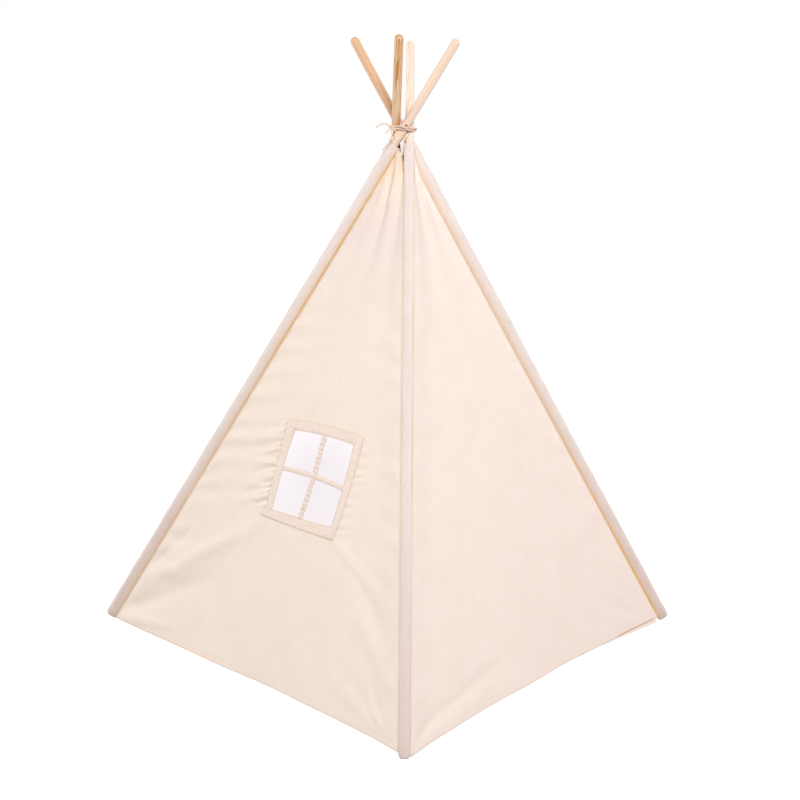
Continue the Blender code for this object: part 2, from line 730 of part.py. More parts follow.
def rope(name, points, finish, collection, round_steps):
    """Rope along a list of points, with closed ends."""
    curve = bpy.data.curves.new(name, "CURVE")
    curve.dimensions = "3D"
    curve.bevel_depth = ROPE_RADIUS
    curve.bevel_resolution = round_steps
    curve.use_fill_caps = True
    spline = curve.splines.new("POLY")
    spline.points.add(len(points) - 1)
    for target, point in zip(spline.points, points):
        target.co = (*point, 1)
    return add_object(name, curve, finish, collection)


def seen_from_window_corner(across, outward, above):
    """Place in the tent of a point given from the lashing, as seen from the +X +Y corner."""
    return (turned_direction(CORNERS["rear_right"] + 90) * across
            + turned_direction(CORNERS["rear_right"]) * outward
            + UP * (CROSSING_HEIGHT + above))


def build_lashing(finishes, parts):
    """Rope winding round the crossing, its knot, its loose ends and the cover's peak tie."""
    winding = lashing_points()
    print("least gap of the lashing to itself, mm:", round(least_gap(winding) * 1000, 2))
    rope("rope_lashing", winding, finishes["rope"], parts, LASHING_ROUND_STEPS)
    knot_mesh = bpy.data.meshes.new("rope_knot")
    shape = bmesh.new()
    bmesh.ops.create_uvsphere(shape, u_segments=12, v_segments=8, radius=KNOT_RADIUS)
    shape.to_mesh(knot_mesh)
    shape.free()
    knot_place = seen_from_window_corner(KNOT_LATERAL, knot_depth(winding), KNOT_ABOVE_CROSSING)
    add_object("rope_knot", knot_mesh, finishes["rope"], parts, Matrix.Translation(knot_place))
    smooth(knot_mesh)
    for name, places in ROPE_END_ROUTES.items():
        route = [seen_from_window_corner(*place) for place in places]
        leaving = (route[0] - knot_place).normalized()
        route.insert(0, knot_place + leaving * (KNOT_RADIUS + FIT_GAP))
        rope(name, route, finishes["rope"], parts, ROPE_END_ROUND_STEPS)
    route = [seen_from_window_corner(across * POLE_RADIUS, outward * POLE_RADIUS,
                                     -drop * COVER_TIE_DROP)
             for across, outward, drop in COVER_TIE_ROUTE_SHARES]
    across = turned_direction(CORNERS["rear_right"] + 90)

    def tie_place(column, row):
        return route[row] + across * (COVER_TIE_WIDTH * (column - 0.5))

    sheet("cover_tie", 1, len(route) - 1, tie_place, finishes["tape"], parts, CANVAS)


def main():
    """Build every piece of the teepee."""
    for old in list(bpy.data.objects):
        bpy.data.objects.remove(old)
    parts = bpy.data.collections.new("kids_teepee")
    cutters = bpy.data.collections.new("cutters")
    for collection in (parts, cutters):
        bpy.context.scene.collection.children.link(collection)
    finishes = {
        "pine": make_material("pine", (239, 203, 160), 0.55),
        "steel": make_material("galvanised_steel", (176, 178, 180), 0.35, 1),
        "canvas": make_material("cotton_canvas", (247, 233, 220), 0.95),
        "tape": make_material("cotton_tape", (243, 226, 210), 0.95),
        "rope": make_material("cotton_rope", (226, 208, 188), 0.9),
    }
    for corner in CORNERS:
        build_pole(corner, finishes, parts, cutters)
        build_sleeve(corner, finishes, parts, cutters)
    build_window_wall(finishes, parts)
    build_plain_wall("wall_back", "back", finishes, parts)
    build_plain_wall("wall_plain_side", "plain", finishes, parts)
    build_door(finishes, parts)
    build_lashing(finishes, parts)
    bpy.context.view_layer.update()


if __name__ == "__main__":
    main()
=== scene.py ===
"""Child's play teepee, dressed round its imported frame.

Four pine poles are lashed at the top with cotton rope. A cotton canvas cover hangs on them: a
sleeve and a closed foot pocket on each pole, a window wall, two blank walls and a door wall whose
two curtains are tied back. The door faces -Y and the window wall faces +X.
"""

import logging
import math
from dataclasses import dataclass, field, replace
from enum import Enum
from typing import Callable, Sequence

import bmesh
import bpy
import numpy as np
from bpy.types import Material, Mesh, NodeSocket, Object
from mathutils import Matrix, Vector, noise


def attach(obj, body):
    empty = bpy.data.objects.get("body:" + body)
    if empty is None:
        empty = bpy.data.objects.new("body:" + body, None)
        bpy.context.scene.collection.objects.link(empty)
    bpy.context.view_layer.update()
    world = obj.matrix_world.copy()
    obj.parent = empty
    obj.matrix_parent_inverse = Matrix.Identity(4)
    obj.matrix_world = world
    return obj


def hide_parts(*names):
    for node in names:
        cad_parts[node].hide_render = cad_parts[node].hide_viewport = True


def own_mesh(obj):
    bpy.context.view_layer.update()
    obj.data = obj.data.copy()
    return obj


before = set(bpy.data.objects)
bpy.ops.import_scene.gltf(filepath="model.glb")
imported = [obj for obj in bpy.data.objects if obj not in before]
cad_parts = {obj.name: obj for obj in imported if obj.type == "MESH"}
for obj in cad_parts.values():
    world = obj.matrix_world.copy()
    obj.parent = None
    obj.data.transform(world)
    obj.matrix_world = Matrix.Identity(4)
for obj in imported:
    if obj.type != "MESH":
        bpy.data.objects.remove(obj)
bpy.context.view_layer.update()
LOG = logging.getLogger("teepee")
UP = Vector((0, 0, 1))
MM = 0.001


# Tent geometry


class Corner(Enum):
    """A pole's corner of the base, with its angle round the tent in degrees."""

    REAR_RIGHT = ("rear_right", 45)
    REAR_LEFT = ("rear_left", 135)
    FRONT_LEFT = ("front_left", 225)
    FRONT_RIGHT = ("front_right", 315)

    @property
    def label(self) -> str:
        """The corner's name in the frame."""
        return self.value[0]

    @property
    def azimuth(self) -> float:
        """The corner's angle round the tent."""
        return self.value[1]

    @property
    def body(self) -> str:
        """The moving body of this corner's pole."""
        return f"pole_{self.label}"


class Side(Enum):
    """A wall of the cover, with its body, its joint and the angle that it faces."""

    WINDOW = ("window_wall", 0)
    BACK = ("back_wall", 90)
    PLAIN = ("plain_wall", 180)
    DOOR = ("door_wall", 270)

    @property
    def body(self) -> str:
        """The wall's moving body."""
        return self.value[0]

    @property
    def joint(self) -> str:
        """The joint that turns the wall inward."""
        return f"fold_{self.value[0]}"

    @property
    def azimuth(self) -> float:
        """The angle that the wall faces."""
        return self.value[1]


@dataclass(frozen=True)
class TentSizes:
    """Sizes that every sub-assembly shares, in metres."""

    base_width: float = 1.2
    crossing_height: float = 1.4706
    foot_height: float = 0.02
    pole_radius: float = 0.0125
    passing_gap: float = 0.0005
    sleeve_half_width: float = 0.0140
    sleeve_depth: float = 0.020
    seam_gap: float = 0.0004
    canvas: float = 0.0012
    hem_height: float = 0.005
    hem_arch: float = 0.010
    wall_top: float = 1.375
    peak_height: float = 1.408
    front_hug: float = 0.0150  # how far the walls stand out beside the nearest sleeve
    side_hug: float = 0.0026


TENT = TentSizes()


def level_direction(degrees: float) -> Vector:
    """Level direction at an angle round the tent, from +X towards +Y."""
    angle = math.radians(degrees)
    return Vector((math.cos(angle), math.sin(angle), 0))


class PoleLine:
    """Where one pole stands: its foot, its axis and the directions square to it."""

    def __init__(self, azimuth: float) -> None:
        """Place a pole.

        Args:
            azimuth: its corner's angle round the tent, in degrees.
        """
        foot_radius = TENT.base_width / math.sqrt(2)
        lean = math.atan2(foot_radius, TENT.crossing_height - TENT.foot_height)
        cosine = math.cos(lean)
        share = 2 * cosine / math.sqrt(2 * cosine ** 2 + math.sin(lean) ** 2)
        offset = (2 * TENT.pole_radius + TENT.passing_gap) / share
        self.foot = level_direction(azimuth) * foot_radius + UP * TENT.foot_height
        self.crossing = level_direction(azimuth + 90) * offset + UP * TENT.crossing_height
        self.axis = (self.crossing - self.foot).normalized()
        self.side = self.axis.cross(UP).normalized()
        self.outward = self.side.cross(self.axis)
        self.crossing_along = (self.crossing - self.foot).length

    def matrix(self, along: float) -> Matrix:
        """Placement whose +Z runs up the pole and +X points out of the tent."""
        turn = Matrix((self.outward, self.side, self.axis)).transposed()
        return Matrix.Translation(self.foot + self.axis * along) @ turn.to_4x4()

    def seam(self, turn: int, height: float) -> Vector:
        """Point of the wall's seam beside this pole.

        Args:
            turn: +1 or -1, for the wall on either side of the pole.
            height: height of the point above the floor.

        Returns:
            The seam's point at that height.
        """
        behind = TENT.sleeve_depth + TENT.seam_gap + TENT.canvas / 2
        start = self.foot - self.outward * behind + self.side * (turn * TENT.sleeve_half_width)
        return start + self.axis * ((height - start.z) / self.axis.z)

    def at_height(self, height: float) -> Vector:
        """Point of the pole's axis at one height."""
        return self.foot + self.axis * ((height - self.foot.z) / self.axis.z)


POLES = {corner: PoleLine(corner.azimuth) for corner in Corner}


class WallPlane:
    """One side of the cover, stretched between the seams of two poles."""

    least_width = 0.016

    def __init__(self, side: Side) -> None:
        """Find the poles at both ends of a wall and the wall's own directions.

        Args:
            side: which wall it is.
        """
        by_azimuth = {corner.azimuth: line for corner, line in POLES.items()}
        self.side = side
        self.first = by_azimuth[(side.azimuth - 45) % 360]
        self.second = by_azimuth[(side.azimuth + 45) % 360]
        self.along = level_direction(side.azimuth + 90)
        slope = self.first.seam(1, TENT.wall_top) - self.first.seam(1, TENT.hem_height)
        self.normal = self.along.cross(slope).normalized()
        self.tilt = math.acos(min(1.0, abs(self.along.cross(self.normal).z)))

    def ends(self, height: float) -> tuple[Vector, Vector]:
        """Seam points of both poles at one height."""
        return self.first.seam(1, height), self.second.seam(-1, height)

    def reach(self, height: float) -> tuple[float, float]:
        """Reach of the canvas along the wall; it stays a little wide at the peak.

        Args:
            height: height above the floor.

        Returns:
            Where the canvas starts and where it ends.
        """
        start, end = self.ends(height)
        low, high = start.dot(self.along), end.dot(self.along)
        middle = (low + high) / 2
        half = max(high - low, self.least_width) / 2
        return middle - half, middle + half

    def point(self, place: float, height: float, lift: float) -> Vector:
        """Point at a place along the wall and a height, lifted out of the canvas.

        Args:
            place: distance from the wall's middle, along the wall.
            height: height above the floor.
            lift: distance out of the tent.

        Returns:
            The point in the tent's frame.
        """
        start, end = self.ends(height)
        low, high = start.dot(self.along), end.dot(self.along)
        if high - low < self.least_width:
            middle = (start + end) / 2
            return middle + self.along * (place - (low + high) / 2) + self.normal * lift
        return start.lerp(end, (place - low) / (high - low)) + self.normal * lift

    def drop(self, height: float) -> float:
        """Distance up the slope of the wall, from the floor."""
        return height / math.cos(self.tilt)


def smooth_step(value: float) -> float:
    """Smooth rise from 0 to 1."""
    value = min(max(value, 0.0), 1.0)
    return value * value * (3 - 2 * value)


def bell(value: float) -> float:
    """Smooth bump of height 1 at 0 that has faded out at 2."""
    return math.exp(-value * value)


# Finishes


def linear(colour: str) -> tuple[float, float, float, float]:
    """Turn an sRGB hex colour to linear values.

    Args:
        colour: the colour, as #RRGGBB.

    Returns:
        Red, green and blue, with full alpha.
    """
    values = [int(colour[start:start + 2], 16) / 255 for start in (1, 3, 5)]
    made = [v / 12.92 if v <= 0.04045 else ((v + 0.055) / 1.055) ** 2.4 for v in values]
    return (made[0], made[1], made[2], 1.0)


def bands_scale(spacing_mm: float) -> float:
    """Scale at which a wave texture, 20 radians to a unit, repeats at a real spacing."""
    return 2 * math.pi / 20 / (spacing_mm * MM)


def noise_scale(grain_mm: float) -> float:
    """Scale at which a noise texture has a real grain size."""
    return 1 / (grain_mm * MM)


class Nodes:
    """A node tree while it is built."""

    def __init__(self, tree: bpy.types.NodeTree) -> None:
        """Take the tree that the nodes go into."""
        self.tree = tree

    def add(self, kind: str, inputs: dict | None = None, output: int | str = 0,
            stops: Sequence[tuple[float, str]] = (), **settings: object) -> NodeSocket:
        """Add one node with its settings and links.

        Args:
            kind: Blender's name of the node, after "ShaderNode".
            inputs: for each input's name or number, a value or the socket to link.
            output: name or number of the output that is wanted.
            stops: position and sRGB hex colour of each stop, where the node has a colour ramp.
            settings: the node's own properties.

        Returns:
            The wanted output.
        """
        node = self.tree.nodes.new(f"ShaderNode{kind}")
        for key, value in settings.items():
            setattr(node, key, value)
        for key, value in (inputs or {}).items():
            if isinstance(value, NodeSocket):
                self.tree.links.new(value, node.inputs[key])
            else:
                node.inputs[key].default_value = value
        if stops:
            elements = node.color_ramp.elements
            while len(elements) < len(stops):
                elements.new(0.5)
            for element, (position, colour) in zip(elements, stops):
                element.position = position
                element.color = linear(colour)
        return node.outputs[output]

    def link(self, output: NodeSocket, node: str, target: int | str) -> None:
        """Link a socket to an input of a node that is there from the start."""
        self.tree.links.new(output, self.tree.nodes[node].inputs[target])


class Shader(Nodes):
    """A material while it is built round its Principled surface."""

    def __init__(self, name: str, values: dict[str, float]) -> None:
        """Start a material.

        Args:
            name: the material's name.
            values: the plain numbers of the surface, by its inputs' names.
        """
        self.material = bpy.data.materials.new(name)
        self.material.use_nodes = True
        super().__init__(self.material.node_tree)
        self.surface = self.tree.nodes["Principled BSDF"]
        for key, value in values.items():
            self.surface.inputs[key].default_value = value

    def dress(self, colour: NodeSocket, relief: NodeSocket,
              depth_mm: float) -> Material:
        """Give the surface its colour and a fine relief.

        Args:
            colour: the colour's socket.
            relief: the relief's height, from 0 to 1.
            depth_mm: how deep that is.

        Returns:
            The finished material.
        """
        bump = self.add("Bump", {"Height": relief, "Distance": depth_mm * MM, "Strength": 1.0})
        self.link(colour, "Principled BSDF", "Base Color")
        self.link(bump, "Principled BSDF", "Normal")
        return self.material


@dataclass(frozen=True)
class CottonCanvas:
    """Plain-weave cotton canvas, unbleached, matt, with slubs and soft unevenness."""

    name: str
    light: str
    dark: str
    # seam: colour of the painted shade in the groove by a seam or along an edge
    seam: str
    thread_mm: float = 1.1  # true threads are about 0.5 mm; drawn coarser, so that they show
    slub_mm: float = 2.2
    slub_share: float = 0.05  # of a slub's width in its length
    cloud_mm: float = 90.0
    stitch_mm: float = 4.0
    stitch_share: float = 0.68  # of a stitch that shows on top
    stitch_half_mm: float = 0.7
    stitch_colour: str = "#E9CFB4"
    seam_row_mm: float = 6.0
    hem_row_mm: float = 17.0
    painted_seam_shade_mm: float = 4.5  # how far the painted shade by a seam or edge reaches
    seam_fade: float = 400.0
    hem_edge_shade: float = 0.0  # how far painted shade shows as a warmer line along the hem's folded edge
    hem_edge_shade_mm: float = 2.6
    hem_edge_shade_colour: str = "#DDA27C"
    painted_shade_by_height: tuple[tuple[float, str], ...] = ()  # painted shade by the distance up the cloth, in metres
    relief_mm: float = 0.28

    def material(self) -> Material:
        """Woven surface in the cloth's own metres, with stitch rows along its edges.

        Returns:
            The material.
        """
        shade = Shader(self.name, {"Roughness": 0.92, "Sheen Weight": 0.12,
                                   "Sheen Roughness": 0.5, "Specular IOR Level": 0.25})
        cloth = shade.add("UVMap", uv_map="cloth")
        warp, weft = [shade.add("TexWave", {
            "Vector": cloth, "Scale": bands_scale(self.thread_mm), "Distortion": 0.6,
            "Detail": 1.0, "Detail Scale": 0.4}, "Fac", wave_type="BANDS", bands_direction=axis)
            for axis in ("X", "Y")]
        weave = shade.add("Math", {0: warp, 1: weft}, operation="MAXIMUM")
        slubs = []
        for long_way in ((1.0, self.slub_share, 1.0), (self.slub_share, 1.0, 1.0)):
            stretched = shade.add("Mapping", {"Vector": cloth, "Scale": long_way})
            slubs.append(shade.add("TexNoise", {
                "Vector": stretched, "Scale": noise_scale(self.slub_mm), "Detail": 2.0,
                "Roughness": 0.6}, "Fac"))
        slub = shade.add("Math", {0: slubs[0], 1: slubs[1]}, operation="MULTIPLY")
        cloud = shade.add("TexNoise", {
            "Vector": cloth, "Scale": noise_scale(self.cloud_mm), "Detail": 3.0,
            "Roughness": 0.55}, "Fac")
        uneven = shade.add("Math", {
            0: shade.add("Math", {0: slub, 1: 1.5}, operation="MULTIPLY"),
            1: shade.add("Math", {0: cloud, 1: 0.65}, operation="MULTIPLY")}, operation="ADD")
        colour = shade.add("ValToRGB", {0: uneven}, stops=[(0.35, self.dark), (1.0, self.light)])
        # painted shade by height: a tint multiplied over the cloth by the distance up it
        if self.painted_shade_by_height:
            reach = self.painted_shade_by_height[-1][0]
            up = shade.add("SeparateXYZ", {0: cloth}, 1)
            share = shade.add("Math", {0: up, 1: 1 / reach}, operation="MULTIPLY")
            tone = shade.add("ValToRGB", {0: share}, stops=[
                (height / reach, tint) for height, tint in self.painted_shade_by_height])
            colour = shade.add("Mix", {0: 1.0, 6: colour, 7: tone}, 2, data_type="RGBA",
                               blend_type="MULTIPLY")
        raised = shade.add("Math", {0: weave, 1: 0.6}, operation="MULTIPLY")
        relief = shade.add("Math", {0: raised, 1: slub}, operation="ADD")
        return shade.dress(*self.stitch_rows(shade, cloth, colour, relief), self.relief_mm)

    def stitch_rows(self, shade: Shader, cloth: NodeSocket,
                    colour: NodeSocket, relief: NodeSocket
                    ) -> tuple[NodeSocket, NodeSocket]:
        """Draw one row of stitches by the seams and one above the hem, with painted shade by the
        seams and along the hem's folded edge.

        Args:
            shade: the material under construction.
            cloth: the cloth's map in metres.
            colour: colour of the bare cloth.
            relief: relief of the bare cloth.

        Returns:
            The colour and the relief with the rows on them.
        """
        edge = shade.add("Attribute", output="Vector", attribute_name="seam")
        from_seam, from_hem, strength = shade.add("SeparateXYZ", {0: edge}).node.outputs
        across, up, _ = shade.add("SeparateXYZ", {0: cloth}).node.outputs
        rows = []
        for distance, place, run in ((from_seam, self.seam_row_mm, up),
                                     (from_hem, self.hem_row_mm, across)):
            off = shade.add("Math", {0: distance, 1: place * MM}, operation="SUBTRACT")
            off = shade.add("Math", {0: off}, operation="ABSOLUTE")
            thread = shade.add("Math", {0: off, 1: self.stitch_half_mm * MM},
                               operation="LESS_THAN")
            count = shade.add("Math", {0: run, 1: 1 / (self.stitch_mm * MM)},
                              operation="MULTIPLY")
            count = shade.add("Math", {0: count}, operation="FRACT")
            dash = shade.add("Math", {0: count, 1: self.stitch_share}, operation="LESS_THAN")
            rows.append(shade.add("Math", {0: thread, 1: dash}, operation="MULTIPLY"))
        stitched = shade.add("Math", {0: rows[0], 1: rows[1]}, operation="MAXIMUM")
        # painted shade: the seam colour fades in close to a seam or edge, scaled by the seam
        # attribute's strength
        near = shade.add("Math", {0: self.painted_seam_shade_mm * MM, 1: from_seam}, operation="SUBTRACT")
        near = shade.add("Math", {0: near, 1: self.seam_fade}, operation="MULTIPLY",
                         use_clamp=True)
        near = shade.add("Math", {0: near, 1: strength}, operation="MULTIPLY")
        # painted shade: a warmer line along the hem's folded edge
        folded = shade.add("Math", {0: from_hem, 1: self.hem_edge_shade_mm * MM},
                           operation="LESS_THAN")
        for share, gain, tint in ((near, 1.0, self.seam), (stitched, 0.35, self.stitch_colour),
                                  (folded, self.hem_edge_shade, self.hem_edge_shade_colour)):
            share = shade.add("Math", {0: share, 1: gain}, operation="MULTIPLY")
            colour = shade.add("Mix", {0: share, 6: colour, 7: linear(tint)}, 2,
                               data_type="RGBA")
        pressed = shade.add("Math", {0: stitched, 1: 0.8}, operation="MULTIPLY")
        return colour, shade.add("Math", {0: relief, 1: pressed}, operation="SUBTRACT")


@dataclass(frozen=True)
class SeamAllowance:
    """Rolled edge of the canvas in a seam, with yarn-fine ridges, coloured with painted warm
    shade of the groove beside the sleeve, darker towards one end.
    """

    name: str
    # low and high: painted warm shade of the groove, at the seam's foot and at its top
    low: str
    high: str
    reach: float = 1.45  # length of the seam, in metres
    yarn_mm: float = 0.9
    blotch_mm: float = 41.6667
    relief_mm: float = 0.2

    def material(self) -> Material:
        """Painted shade that changes along the seam, from the roll's own map in metres.

        Returns:
            The material.
        """
        shade = Shader(self.name, {"Roughness": 0.92, "Specular IOR Level": 0.2})
        cloth = shade.add("UVMap", uv_map="cloth")
        rough, yarn = [shade.add("TexNoise", {
            "Vector": cloth, "Scale": noise_scale(grain), "Detail": 2.0}, "Fac")
            for grain in (self.blotch_mm, self.yarn_mm)]
        run = shade.add("SeparateXYZ", {0: cloth})
        share = shade.add("Math", {0: run, 1: 1 / self.reach}, operation="MULTIPLY")
        rough = shade.add("Math", {0: rough, 1: 0.5}, operation="SUBTRACT")
        rough = shade.add("Math", {0: rough, 1: 0.5}, operation="MULTIPLY")
        share = shade.add("Math", {0: share, 1: rough}, operation="ADD", use_clamp=True)
        colour = shade.add("ValToRGB", {0: share}, stops=[(0.15, self.low), (0.80, self.high)])
        # painted shade in the grooves between the yarns
        painted_groove_shade = shade.add("ValToRGB", {0: yarn}, stops=[(0.3, "#C9AE92"), (0.7, "#FFFFFF")])
        colour = shade.add("Mix", {0: 0.25, 6: colour, 7: painted_groove_shade}, 2, data_type="RGBA",
                           blend_type="MULTIPLY")
        return shade.dress(colour, yarn, self.relief_mm)


@dataclass(frozen=True)
class PineDowel:
    """Turned and sanded pine dowel, unvarnished: fine pores and long cathedral grain."""

    name: str
    light: str
    base: str
    grain: str
    figure: float  # how far the dark late wood shows
    shift: float  # which stretch of the log the dowel was cut from
    turn: float = 0.0  # of the rings about the dowel's axis, in radians
    ring_mm: float = 3.2
    swirl: float = 0.013  # how far the rings wander, in metres
    stretch: float = 0.055  # of the figure, along against across
    swirl_mm: float = 16.6667  # grain of the rings' wandering
    pith: tuple[float, float] = (0.017, 0.003)  # place of the rings' middle
    fibre_mm: float = 3.0303
    relief_mm: float = 0.02

    def material(self) -> Material:
        """Growth rings cut lengthwise, in the dowel's own frame with Z along it.

        Returns:
            The material.
        """
        shade = Shader(self.name, {"Roughness": 0.55, "IOR": 1.5, "Specular IOR Level": 0.35})
        place = shade.add("TexCoord", output="Object")
        log = shade.add("Mapping", {
            "Vector": place, "Location": (*self.pith, self.shift),
            "Rotation": (0.0, 0.0, self.turn), "Scale": (1.0, 1.0, self.stretch)})
        wander = shade.add("TexNoise", {
            "Vector": log, "Scale": noise_scale(self.swirl_mm), "Detail": 1.0,
            "Roughness": 0.4}, "Color")
        bent = shade.add("VectorMath", {0: wander, 1: (self.swirl, self.swirl, 0.0), 2: log},
                         operation="MULTIPLY_ADD")
        rings = shade.add("TexWave", {
            "Vector": bent, "Scale": bands_scale(self.ring_mm), "Distortion": 0.0}, "Fac",
            wave_type="RINGS", rings_direction="Z", wave_profile="SAW")
        late = shade.add("ValToRGB", {0: rings}, stops=[
            (0.0, self.light), (0.50, self.base), (0.80, self.grain), (0.92, self.grain),
            (1.0, self.light)])
        flat = shade.add("ValToRGB", {0: rings}, stops=[
            (0.0, self.light), (0.55, self.base), (1.0, self.light)])
        colour = shade.add("Mix", {0: self.figure, 6: flat, 7: late}, 2, data_type="RGBA")
        fibres = shade.add("Mapping", {"Vector": place, "Scale": (1.0, 1.0, 0.012)})
        fibre = shade.add("TexNoise", {
            "Vector": fibres, "Scale": noise_scale(self.fibre_mm), "Detail": 1.0,
            "Roughness": 0.5}, "Fac")
        streak = shade.add("ValToRGB", {0: fibre}, stops=[(0.3, "#EFE6DC"), (0.65, "#FFFFFF")])
        colour = shade.add("Mix", {0: 0.5, 6: colour, 7: streak}, 2, data_type="RGBA",
                           blend_type="MULTIPLY")
        return shade.dress(colour, fibre, self.relief_mm)


@dataclass(frozen=True)
class CottonRope:
    """Twisted natural cotton yarn: dull and slightly fuzzy, with painted warm shade in the
    grooves.
    """

    name: str = "twisted_cotton_rope"
    light: str = "#FFF2E6"
    # dark: painted warm shade in the grooves between the yarns, mixed with the cotton's random
    # tone
    dark: str = "#DDB793"
    yarn_mm: float = 0.5
    yarn_lay: float = 55.0  # degrees of the yarns across the strand
    blotch_mm: float = 3.84615
    relief_mm: float = 0.1

    def material(self) -> Material:
        """Yarns wound round the strand, from the strand's own map in metres.

        Returns:
            The material.
        """
        shade = Shader(self.name, {"Roughness": 0.95, "Sheen Weight": 0.2,
                                   "Sheen Roughness": 0.6, "Specular IOR Level": 0.2})
        along = shade.add("UVMap", uv_map="cloth")
        turned = shade.add("Mapping", {
            "Vector": along, "Rotation": (0.0, 0.0, math.radians(self.yarn_lay))})
        yarn = shade.add("TexWave", {
            "Vector": turned, "Scale": bands_scale(self.yarn_mm), "Distortion": 1.2,
            "Detail": 2.0}, "Fac", wave_type="BANDS", bands_direction="X")
        tone = shade.add("TexNoise", {
            "Vector": along, "Scale": noise_scale(self.blotch_mm), "Detail": 2.0}, "Fac")
        both = shade.add("Math", {
            0: shade.add("Math", {0: yarn, 1: 0.45}, operation="MULTIPLY"),
            1: shade.add("Math", {0: tone, 1: 0.6}, operation="MULTIPLY")}, operation="ADD")
        colour = shade.add("ValToRGB", {0: both}, stops=[(0.25, self.dark), (0.75, self.light)])
        return shade.dress(colour, yarn, self.relief_mm)


@dataclass(frozen=True)
class DrawnSteel:
    """Galvanised drawn steel tube: fine lengthwise draw marks and a soft zinc bloom."""

    name: str = "galvanised_drawn_steel"
    light: str = "#C9CBCC"
    dark: str = "#A7AAAD"
    mark_mm: float = 0.714286
    relief_mm: float = 0.03

    def material(self) -> Material:
        """Metal with marks along the tube.

        Returns:
            The material.
        """
        shade = Shader(self.name, {"Roughness": 0.38, "Metallic": 1.0})
        place = shade.add("TexCoord", output="Object")
        drawn = shade.add("Mapping", {"Vector": place, "Scale": (1.0, 1.0, 0.02)})
        marks = shade.add("TexNoise", {
            "Vector": drawn, "Scale": noise_scale(self.mark_mm), "Detail": 2.0}, "Fac")
        colour = shade.add("ValToRGB", {0: marks}, stops=[(0.3, self.dark), (0.7, self.light)])
        return shade.dress(colour, marks, self.relief_mm)


class Finishes:
    """Every material of the tent, made once."""

    def __init__(self) -> None:
        """Make the materials."""
        # Each canvas's third colour is painted shade by its seams and edges: beside the sleeves
        # on the walls, on the sleeves' rear flanks, along the turned hem's top edge under the
        # wall's hem, and along the tapes' and bars' edges.
        # The hem lines are painted shade along the walls' folded hem edge. The tints by height
        # are painted shade: a little darker towards the walls' tops and towards the sleeves'
        # feet.
        wall = CottonCanvas("cotton_canvas_wall", "#FBEEE2", "#F4E5D7", "#EBD4B8", painted_seam_shade_mm=9.0,
                            seam_fade=120.0, hem_edge_shade=0.45, painted_shade_by_height=(
                                (1.00, "#FFFFFF"), (1.15, "#FAFCFF"), (1.30, "#F9F6FD"),
                                (1.46, "#FCF9F4")))
        blank_wall = replace(wall, name="cotton_canvas_blank_wall", light="#FBEDE4",
                             dark="#F4E4D9", hem_edge_shade=0.35, painted_shade_by_height=())
        sleeve = CottonCanvas("cotton_canvas_sleeve", "#F2E6E0", "#E7D8D1", "#E8CFBC",
                              painted_seam_shade_mm=20.0, seam_fade=70.0, seam_row_mm=3.0, hem_row_mm=15.0,
                              painted_shade_by_height=((0.0, "#F9F2F1"), (0.65, "#FFFFFF")))
        turned = CottonCanvas("cotton_canvas_turned_hem", "#FDF0E5", "#F6E6DA", "#C58D5B",
                              painted_seam_shade_mm=2.4, seam_fade=1200.0)
        tape = CottonCanvas("cotton_canvas_tape", "#FBECE0", "#F2DED0", "#DDBD98",
                            thread_mm=0.8, painted_seam_shade_mm=1.3, seam_fade=900.0, seam_row_mm=3.0,
                            hem_row_mm=3.0)
        bar = replace(tape, name="cotton_canvas_bar", light="#F8E9DE", dark="#EFDCCE",
                      seam="#DDBD9B")
        self.wall, self.blank_wall, self.sleeve, self.turned, self.tape, self.bar = (
            cloth.material() for cloth in (wall, blank_wall, sleeve, turned, tape, bar))
        self.rope = CottonRope().material()
        self.steel = DrawnSteel().material()
        # The seam rolls' colours are painted warm shade of the groove between sleeve and wall,
        # golden where that shade is deepest.
        self.seams = {corner: SeamAllowance(*look).material() for corner, look in (
            (Corner.REAR_RIGHT, ("cotton_seam_pale", "#F6E9D6", "#F0D9B8")),
            (Corner.REAR_LEFT, ("cotton_seam_gold", "#FFCB66", "#F6E4D0")),
            (Corner.FRONT_LEFT, ("cotton_seam_tan", "#DDBFA0", "#DDB886")),
            (Corner.FRONT_RIGHT, ("cotton_seam_fading", "#FBEBDC", "#EDBB64")))}
        self.poles = {corner: PineDowel(*look).material() for corner, look in (
            (Corner.FRONT_LEFT, ("pine_dowel_dark_figure", "#EFD2B4", "#DFB68C", "#CB914F",
                                 1.0, 0.31, 0.6, 6.2, 0.030, 0.11)),
            (Corner.REAR_RIGHT, ("pine_dowel_pale", "#FBEFE7", "#F8E6D9", "#F1CDA8",
                                 0.8, 1.73, 2.2, 5.2, 0.024, 0.10)),
            (Corner.FRONT_RIGHT, ("pine_dowel_plain", "#F5E2D2", "#EED6C3", "#E3BFA0",
                                  0.4, 2.9, 1.2)),
            (Corner.REAR_LEFT, ("pine_dowel_honey", "#EFD0B9", "#DFB38A", "#D39F67",
                                0.6, 4.2, 0.3, 6.5)))}


# Mesh helpers


Spot = tuple[Vector, tuple[float, float], tuple[float, float, float]]


def new_object(mesh: Mesh, finish: Material,
               matrix: Matrix | None = None) -> Object:
    """Link a mesh as one piece under its own name.

    Args:
        mesh: the piece's mesh.
        finish: the piece's material.
        matrix: where the piece stands, if not in the tent's own frame.

    Returns:
        The piece.
    """
    made = bpy.data.objects.new(mesh.name, mesh)
    bpy.context.scene.collection.objects.link(made)
    mesh.materials.append(finish)
    if matrix is not None:
        made.matrix_world = matrix
    return made


def settle(piece: Object, body: str, slot: str, *nodes: str) -> None:
    """Ride a piece on its body and hide the CAD nodes that it stands for.

    Args:
        piece: the piece.
        body: the body that it moves with.
        slot: not used.
        nodes: the nodes that it stands for.
    """
    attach(piece, body)
    if nodes:
        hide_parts(*nodes)
    LOG.info("%s rides %s", piece.name, body)


